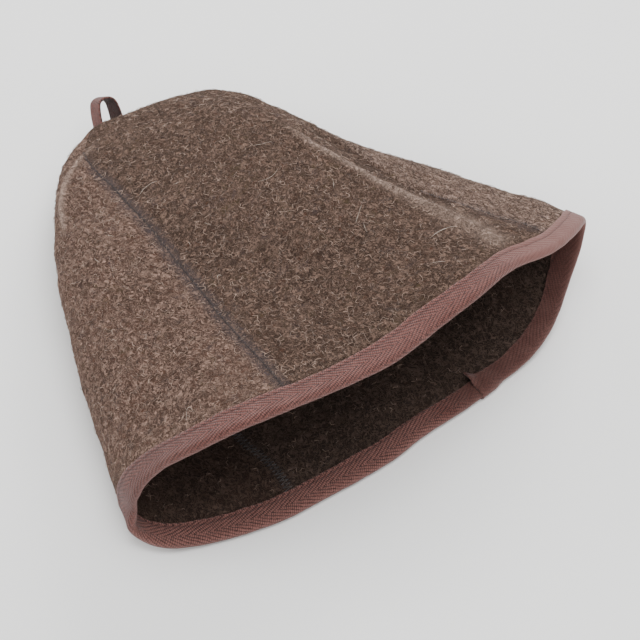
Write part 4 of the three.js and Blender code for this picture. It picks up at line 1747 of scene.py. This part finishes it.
    def build(self, form: HatForm) -> bpy.types.Object:
        """Makes the tape as one closed strip.

        Args:
            form: The felt's outer surface.

        Returns:
            The tape.
        """
        along = np.linspace(0, 1 + self.overlap, self.stations)[:, None]
        turn = self.join_turn + along
        leg, angle, across = self._profile(turn)
        turns = turn + 0 * leg
        lift = self._lift(form, along, turns, leg, angle)
        outer, away = self._place(form, turns, leg, angle, lift)
        inner = outer - away * self.tape * self.under_share
        for face in (outer, inner):
            face[..., 2] = np.maximum(face[..., 2], self.floor_gap)
        thing = sheet_object("rim_tape", outer, inner, turned=True)
        self._mark(thing, form, along, turns, leg, angle, across)
        return thing

    def _mark(self, thing: bpy.types.Object, form: HatForm, along: Array, turn: Array,
              leg: Array, angle: Array, across: Array) -> None:
        """Stores the place on the flat tape, the stitch line, the wear and the painted light and
        shade.

        Args:
            thing: The tape.
            form: The felt's outer surface.
            along: How far along the strip each place is, in turns.
            turn: The turns.
            leg: The distances back from the cut edge.
            angle: The angles round the fold.
            across: The distances across the tape.
        """
        length = along * form.girth(1.0) + 0 * across
        seat = self.outer_leg(turn) - self.stitch_edge
        off = np.abs(past(turn, self.rubbed_turn))
        rubbed = np.where(angle < self.outside_angle, 1.0, self.rubbed_inside)
        rubbed = np.exp(-(off / self.rubbed_width) ** 4) * rubbed
        around = turn % 1.0
        # The inner leg is painted lighter across one part of the round and darker across another,
        # and the outer leg darker at the upper left corner: painted light and shade.
        light_and_shade = window(around, *self.lit_part) - window(around, *self.shaded_part)
        inside = ease((angle - self.inside_start) / self.inside_length)
        corner = self.corner_shade * bell(around - self.corner_turn, self.corner_width)
        for name, values in (
                ("tape_place", np.stack([length, across, length * 0], -1)),
                # Painted highlight along the fold.
                ("fold_edge", bell(angle - math.pi / 2, self.fold_width)),
                ("stitch_line", bell(leg - seat, self.line_width)),
                ("rubbed", rubbed),
                ("fade", light_and_shade * inside - corner * (1 - inside))):
            add_attribute(thing, name, both_faces(values, values))

    def dress(self, thing: bpy.types.Object, form: HatForm, finish: TwillTape) -> None:
        """Gives the tape its finish and its body, and hides the frame's own binding.

        Args:
            thing: The tape.
            form: The felt's outer surface; not used.
            finish: The tape's weave.
        """
        thing.data.materials.append(finish.material())
        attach(thing, BODY)
        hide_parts("rim_binding")

    def stitches(self, form: HatForm, recipe: StitchRow, finish: Thread,
                 side: Side) -> bpy.types.Object:
        """Makes the running stitches on one face of the tape.

        Args:
            form: The felt's outer surface.
            recipe: The recipe for stitches.
            finish: The thread's finish.
            side: Which face they lie on.

        Returns:
            The stitches as one piece.
        """
        pitches = int(form.girth(1.0) / self.stitch_pitch)
        count = pitches - self.spare_stitches
        turn = self.join_turn + self.overlap * self.first_stitch + np.arange(count) / pitches
        leg = self.outer_leg(turn) - self.stitch_edge
        angle = np.full(count, 0.0 if side is Side.OUTER else math.pi)
        if side is Side.INNER:
            leg = np.minimum(leg, self.inner_leg(turn) - self.inner_margin)
        point, away = self._place(form, turn, leg, angle, np.full(count, -self.groove))
        rounds = form.at(turn, 1 - leg / form.plan_reach)[3]
        name = f"rim_stitches_{side.name.lower()}"
        base = mesh_object(name, point, [])
        add_attribute(base, "along", rounds)
        add_attribute(base, "up", away)
        stitch = self.stitch_pitch * self.stitch_share
        add_attribute(base, "reach", np.full(count, stitch * MM))
        thing = recipe.make(base, finish.material(), thread_radius=self.stitch_radius * MM)
        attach(thing, BODY)
        return thing


@dataclass(frozen=True)
class Hair:
    """One loose hair, through three places on the felt."""

    start: tuple[float, float]
    middle: tuple[float, float]
    end: tuple[float, float]
    thickness: float = 1.0


@dataclass
class StrayHairs:
    """The longer pale hairs that stand out on the felt."""

    hairs: tuple[Hair, ...] = (
        Hair((0.146, 0.8315), (0.127, 0.836), (0.117, 0.8485), 1.5),
        Hair((0.1675, 0.7055), (0.1715, 0.716), (0.175, 0.729)),
        Hair((0.4075, 0.927), (0.403, 0.9005), (0.4, 0.918), 1.2),
        Hair((0.4275, 0.45), (0.4245, 0.462), (0.422, 0.4685)),
        Hair((0.402, 0.404), (0.399, 0.408), (0.395, 0.416)),
        Hair((0.167, 0.375), (0.152, 0.395), (0.137, 0.41), 0.9),
        Hair((0.2025, 0.459), (0.187, 0.472), (0.17, 0.4685)),
        Hair((0.341, 0.318), (0.327, 0.3025), (0.31, 0.3), 1.4),
        Hair((0.293, 0.331), (0.288, 0.333), (0.2825, 0.331)),
        Hair((0.319, 0.504), (0.3185, 0.509), (0.319, 0.514)),
        Hair((0.3175, 0.626), (0.315, 0.619), (0.312, 0.622), 1.2),
        Hair((0.29, 0.475), (0.288, 0.48), (0.285, 0.487)),
        Hair((0.171, 0.879), (0.166, 0.886), (0.161, 0.896)),
        Hair((0.134, 0.572), (0.1395, 0.583), (0.147, 0.5935)),
        Hair((0.1475, 0.667), (0.162, 0.682), (0.172, 0.694)),
    )
    radius: float = 0.08
    steps: int = 14
    clearance: float = 0.1
    lift: float = 0.35
    level_lift: float = 0.6
    waved_lift: float = 0.4
    wave_angle: float = 9.0
    end_thickness: float = 0.45

    def build(self, form: HatForm, recipe: ThreadRun, finish: Thread) -> bpy.types.Object:
        """Makes all the hairs as one piece.

        Args:
            form: The felt's outer surface.
            recipe: The recipe for threads.
            finish: The hairs' finish.

        Returns:
            The hairs.
        """
        t = np.linspace(0, 1, self.steps)[:, None]
        points, edges, thick = [], [], []
        for hair in self.hairs:
            start, middle, end = (np.array(p) for p in (hair.start, hair.middle, hair.end))
            bow = 2 * middle - (start + end) / 2
            line = (1 - t) ** 2 * start + 2 * t * (1 - t) * bow + t * t * end
            point, normal, _, _ = form.at(line[:, 0], line[:, 1])
            arch = np.sin(t * math.pi)
            wave = self.level_lift + self.waved_lift * np.sin(self.wave_angle * t)
            rise = self.clearance + self.lift * arch * wave
            first = len(points) * self.steps
            points.append(point + normal * rise)
            edges += [(first + k, first + k + 1) for k in range(self.steps - 1)]
            swell = self.end_thickness + (1 - self.end_thickness) * arch[:, 0]
            thick.append(hair.thickness * swell)
        base = mesh_object("stray_hairs", np.concatenate(points), [], edges)
        add_attribute(base, "thick", np.concatenate(thick))
        thing = recipe.make(base, finish.material(), thread_radius=self.radius * MM, sides=5)
        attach(thing, BODY)
        return thing


@dataclass
class HangingLoop:
    """A doubled tape bent into a loop, with its feet sewn in beside the tip.

    Its side is places round it: how far in each lies, and its share of half the thickness.
    """

    width: float = 9.0
    thickness: float = 1.7
    up: tuple[float, float, float] = (0.42, 0.6, 0.68)
    across: tuple[float, float, float] = (0.82, -0.17, -0.54)
    path: tuple[tuple[float, float], ...] = (
        (-1.6, -3), (-2, 0), (-3, 7), (-2.6, 13.2), (0.2, 15.8), (4.4, 17), (8.2, 15.6),
        (10.8, 10.5), (12.4, 4), (13.2, -4), (13.4, -8))
    seat_share: float = 0.0025
    twist: float = -16.0
    twist_start: float = 0.45
    twist_length: float = 0.3
    edge_round: float = 0.5
    side: tuple[tuple[float, float], ...] = (
        (0.1, 0.75), (0.0, 0.4), (0.35, 0.0), (0.0, -0.4), (0.1, -0.75))
    steps: int = 90

    def _line(self, form: HatForm) -> tuple[Array, Array]:
        """Draws a smooth line through the path's points, and gives its broad direction.

        Args:
            form: The felt's outer surface.

        Returns:
            The line's points and the direction.
        """
        seat = form.at(np.array([0.0]), np.array([self.seat_share]))[0][0]
        up, across = unit(np.array(self.up)), unit(np.array(self.across))
        knots = np.array([seat + across * a + up * u for a, u in self.path])
        spans = np.sqrt(np.linalg.norm(np.diff(knots, axis=0), axis=1))
        spots = np.concatenate([[0.0], np.cumsum(spans)])
        fine = np.linspace(0, spots[-1], self.steps)
        slopes = np.gradient(knots, spots, axis=0)
        k = np.clip(np.searchsorted(spots, fine, "right") - 1, 0, len(spots) - 2)
        span = (spots[k + 1] - spots[k])[:, None]
        t = ((fine - spots[k]) / span[:, 0])[:, None]
        return cubic(t, span, knots, slopes, k), unit(np.cross(up, across))

    def build(self, form: HatForm) -> bpy.types.Object:
        """Sweeps the strap's section, two layers pressed together, along the line.

        Args:
            form: The felt's outer surface.

        Returns:
            The loop.
        """
        line, broad = self._line(form)
        tangent = unit(np.gradient(line, axis=0))
        thin = unit(np.cross(tangent, broad))
        along = np.linspace(0, 1, self.steps)
        turned = np.radians(self.twist) * ease((along - self.twist_start) / self.twist_length)
        cosine, sine = np.cos(turned)[:, None], np.sin(turned)[:, None]
        broad, thin = broad * cosine + thin * sine, thin * cosine - broad * sine
        half_width, half_thick = self.width / 2, self.thickness / 2
        flat = np.linspace(self.edge_round - half_width, half_width - self.edge_round, 13)
        face = [(x, half_thick) for x in flat]
        right = [(half_width - inset, half_thick * share) for inset, share in self.side]
        section = np.array(face + right + [(-x, -y) for x, y in face + right])
        rings = (line[:, None, :] + broad[:, None, :] * section[None, :, :1]
                 + thin[:, None, :] * section[None, :, 1:])
        rows, width = rings.shape[:2]
        faces = ring_faces(rows, width).tolist()
        faces.append(list(range(width))[::-1])
        faces.append([(rows - 1) * width + k for k in range(width)])
        thing = mesh_object("loop_strap", rings.reshape(-1, 3), np.array(faces, dtype=object))
        length = np.concatenate([[0.0], np.cumsum(np.linalg.norm(np.diff(line, axis=0), axis=1))])
        place = np.stack([np.broadcast_to(length[:, None], (rows, width)),
                          np.broadcast_to(section[None, :, 0] + half_width, (rows, width)),
                          np.zeros((rows, width))], -1)
        add_attribute(thing, "tape_place", place.reshape(-1, 3))
        # Painted shade: the strap's inner layer is darkened through the stitch line mark.
        inside = np.broadcast_to(section[None, :, 1] < 0, (rows, width)).ravel()
        add_attribute(thing, "stitch_line", inside.astype(float))
        return thing

    def dress(self, thing: bpy.types.Object, finish: TwillTape) -> None:
        """Gives the loop its finish and its body, and hides the frame's own loop.

        Args:
            thing: The loop.
            finish: The loop's tape.
        """
        thing.data.materials.append(finish.material())
        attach(thing, BODY)
        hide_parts("hanging_loop")


@dataclass
class Studio:
    """A pale floor, soft light and the camera of the photograph."""

    target: tuple[float, float, float] = (-2.52, -69.76, 40.0)
    azimuth: float = -40.4
    elevation: float = 53.0
    distance: float = 1100.0
    lens: float = 113.9
    sensor: float = 36.0
    view_depth: float = 20.0
    floor_size: float = 6.0
    backdrop: float = 0.72
    lamp_aim: tuple[float, float, float] = (0.0, 0.0, 0.03)
    lamps: tuple[tuple[str, tuple[float, float, float], float, float], ...] = (
        ("overhead", (0.1, -0.1, 1.7), 1.3, 24.0),
        ("right_back", (1.5, 0.7, 0.9), 1.0, 31.0),
        ("left_back", (-1.3, 1.1, 0.6), 1.0, 20.0),
        ("camera_side", (-0.6, -1.5, 1.3), 1.0, 7.0))

    def camera(self) -> None:
        """Places the camera."""
        data = bpy.data.cameras.new("camera")
        data.lens = self.lens
        data.sensor_width = self.sensor
        data.clip_end = self.view_depth
        thing = linked("camera", data)
        turn, rise = math.radians(self.azimuth), math.radians(self.elevation)
        back = Vector((math.sin(turn) * math.cos(rise), -math.cos(turn) * math.cos(rise),
                       math.sin(rise)))
        thing.location = (Vector(self.target) + back * self.distance) * MM
        thing.rotation_euler = back.to_track_quat("Z", "Y").to_euler()
        bpy.context.scene.camera = thing

    def floor(self) -> None:
        """Lays a pale matt floor."""
        half = self.floor_size / 2 / MM
        corners = [(-half, -half, 0), (half, -half, 0), (half, half, 0), (-half, half, 0)]
        thing = mesh_object("floor", np.array(corners), [(0, 1, 2, 3)], smooth=False)
        material, graph, shader = new_material("pale_floor")
        where = graph.add("ShaderNodeTexCoord").outputs["Object"]
        tone = graph.span(graph.noise(where, 3.0, 2.0), 0.3, 0.7)
        colour = graph.mix(tone, paint(246, 246, 245), paint(250, 250, 249))
        graph.feed_all(shader, {"Base Color": colour, "Roughness": 0.9})
        thing.data.materials.append(material)

    def lamp(self, name: str, place: tuple[float, float, float], size: float,
             power: float) -> None:
        """Hangs a soft square light that faces the hat.

        Args:
            name: The light's name.
            place: Where it hangs, in metres.
            size: The length of its side, in metres.
            power: Its power, in watts.
        """
        data = bpy.data.lights.new(name, "AREA")
        data.shape = "SQUARE"
        data.size = size
        data.energy = power
        thing = linked(name, data)
        thing.location = place
        way = Vector(place) - Vector(self.lamp_aim)
        thing.rotation_euler = way.to_track_quat("Z", "Y").to_euler()

    def light(self) -> None:
        """Sets the plain studio light, most of it from above."""
        world = bpy.data.worlds.new("studio")
        world.use_nodes = True
        backdrop = world.node_tree.nodes["Background"]
        backdrop.inputs["Color"].default_value = (1.0, 1.0, 1.0, 1.0)
        backdrop.inputs["Strength"].default_value = self.backdrop
        bpy.context.scene.world = world
        for lamp in self.lamps:
            self.lamp(*lamp)


def gores() -> list[tuple[FeltGore, WoolFelt]]:
    """Lists the three gores with their finishes.

    Returns:
        Each gore with its felt.
    """
    brown = WoolFelt("wool_felt", paint(32, 21, 16), paint(61, 43, 34), paint(119, 96, 84))
    # The left felt is rosier than the top one, and lighter partly as painted light from the side.
    rosy_with_painted_light = WoolFelt("wool_felt_left", paint(44, 30, 24), paint(88, 63, 53), paint(147, 120, 107))
    # The under felt is lighter than the top one as painted light, where grazing light lifts its
    # fuzz.
    under = WoolFelt("wool_felt_under", paint(38, 28, 23), paint(84, 64, 53),
                     paint(154, 129, 117))
    return [
        (FeltGore("felt_top", "gore_top", "felt", RIGHT_SEAM, TOP_LEFT_SEAM,
                  flat=(190.0, 272.0), columns=105), brown),
        (FeltGore("felt_left", "gore_left", "felt_left", TOP_LEFT_SEAM, UNDER_SEAM,
                  flat=(230.0, 272.0), columns=125), rosy_with_painted_light),
        (FeltGore("felt_under", "gore_under", "felt", UNDER_SEAM, RIGHT_SEAM,
                  flat=(300.0, 276.0), columns=160), under),
    ]


def report(thing: bpy.types.Object) -> None:
    """Logs a finished piece and its number of faces."""
    LOG.info("%s: %d faces", thing.name, len(thing.data.polygons))


def main() -> None:
    """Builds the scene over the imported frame."""
    logging.basicConfig(level=logging.INFO, format="%(message)s")
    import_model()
    studio = Studio()
    studio.camera()
    studio.floor()
    studio.light()
    form = HatForm()
    nap = WoolNap()
    fibre = Thread("loose_fibre", paint(176, 150, 134), paint(72, 54, 46), 0.9, grain=300.0)
    for gore, finish in gores():
        thing = gore.build(form)
        for side in Side:
            report(gore.nap(thing, nap, fibre, side))
        gore.dress(thing, finish)
        report(thing)
    stitches = StitchRow()
    dark = Thread("seam_thread", paint(76, 66, 67), paint(44, 38, 38))
    pale = Thread("seam_thread_inside", paint(104, 103, 105), paint(60, 59, 61))
    for line in (TOP_LEFT_SEAM, UNDER_SEAM, RIGHT_SEAM):
        outside = ZigzagSeam(line, Side.OUTER)
        report(outside.build(form, stitches, dark))
        inside = ZigzagSeam(line, Side.INNER, width=5.0, pitch=2.3, thread_radius=0.11, sink=0.0)
        report(inside.build(form, stitches, pale))
    binding = RimBinding()
    tape = binding.build(form)
    binding.dress(tape, form, TwillTape())
    report(tape)
    sewing = Thread("tape_thread", paint(92, 56, 52), paint(60, 36, 34))
    for side in Side:
        report(binding.stitches(form, stitches, sewing, side))
    hair = Thread("pale_hair", paint(214, 200, 186), paint(168, 152, 138), 0.8)
    report(StrayHairs().build(form, ThreadRun(), hair))
    loop = HangingLoop()
    strap = loop.build(form)
    # The loop's strong line cover paints shade on the strap's inner layer.
    loop.dress(strap, TwillTape("loop_tape", column_width=4.5, rib_pitch=3.0, selvedge=0.5,
                                tape_width=loop.width, line_and_shade_cover=0.8))
    report(strap)


if __name__ == "__main__":
    main()
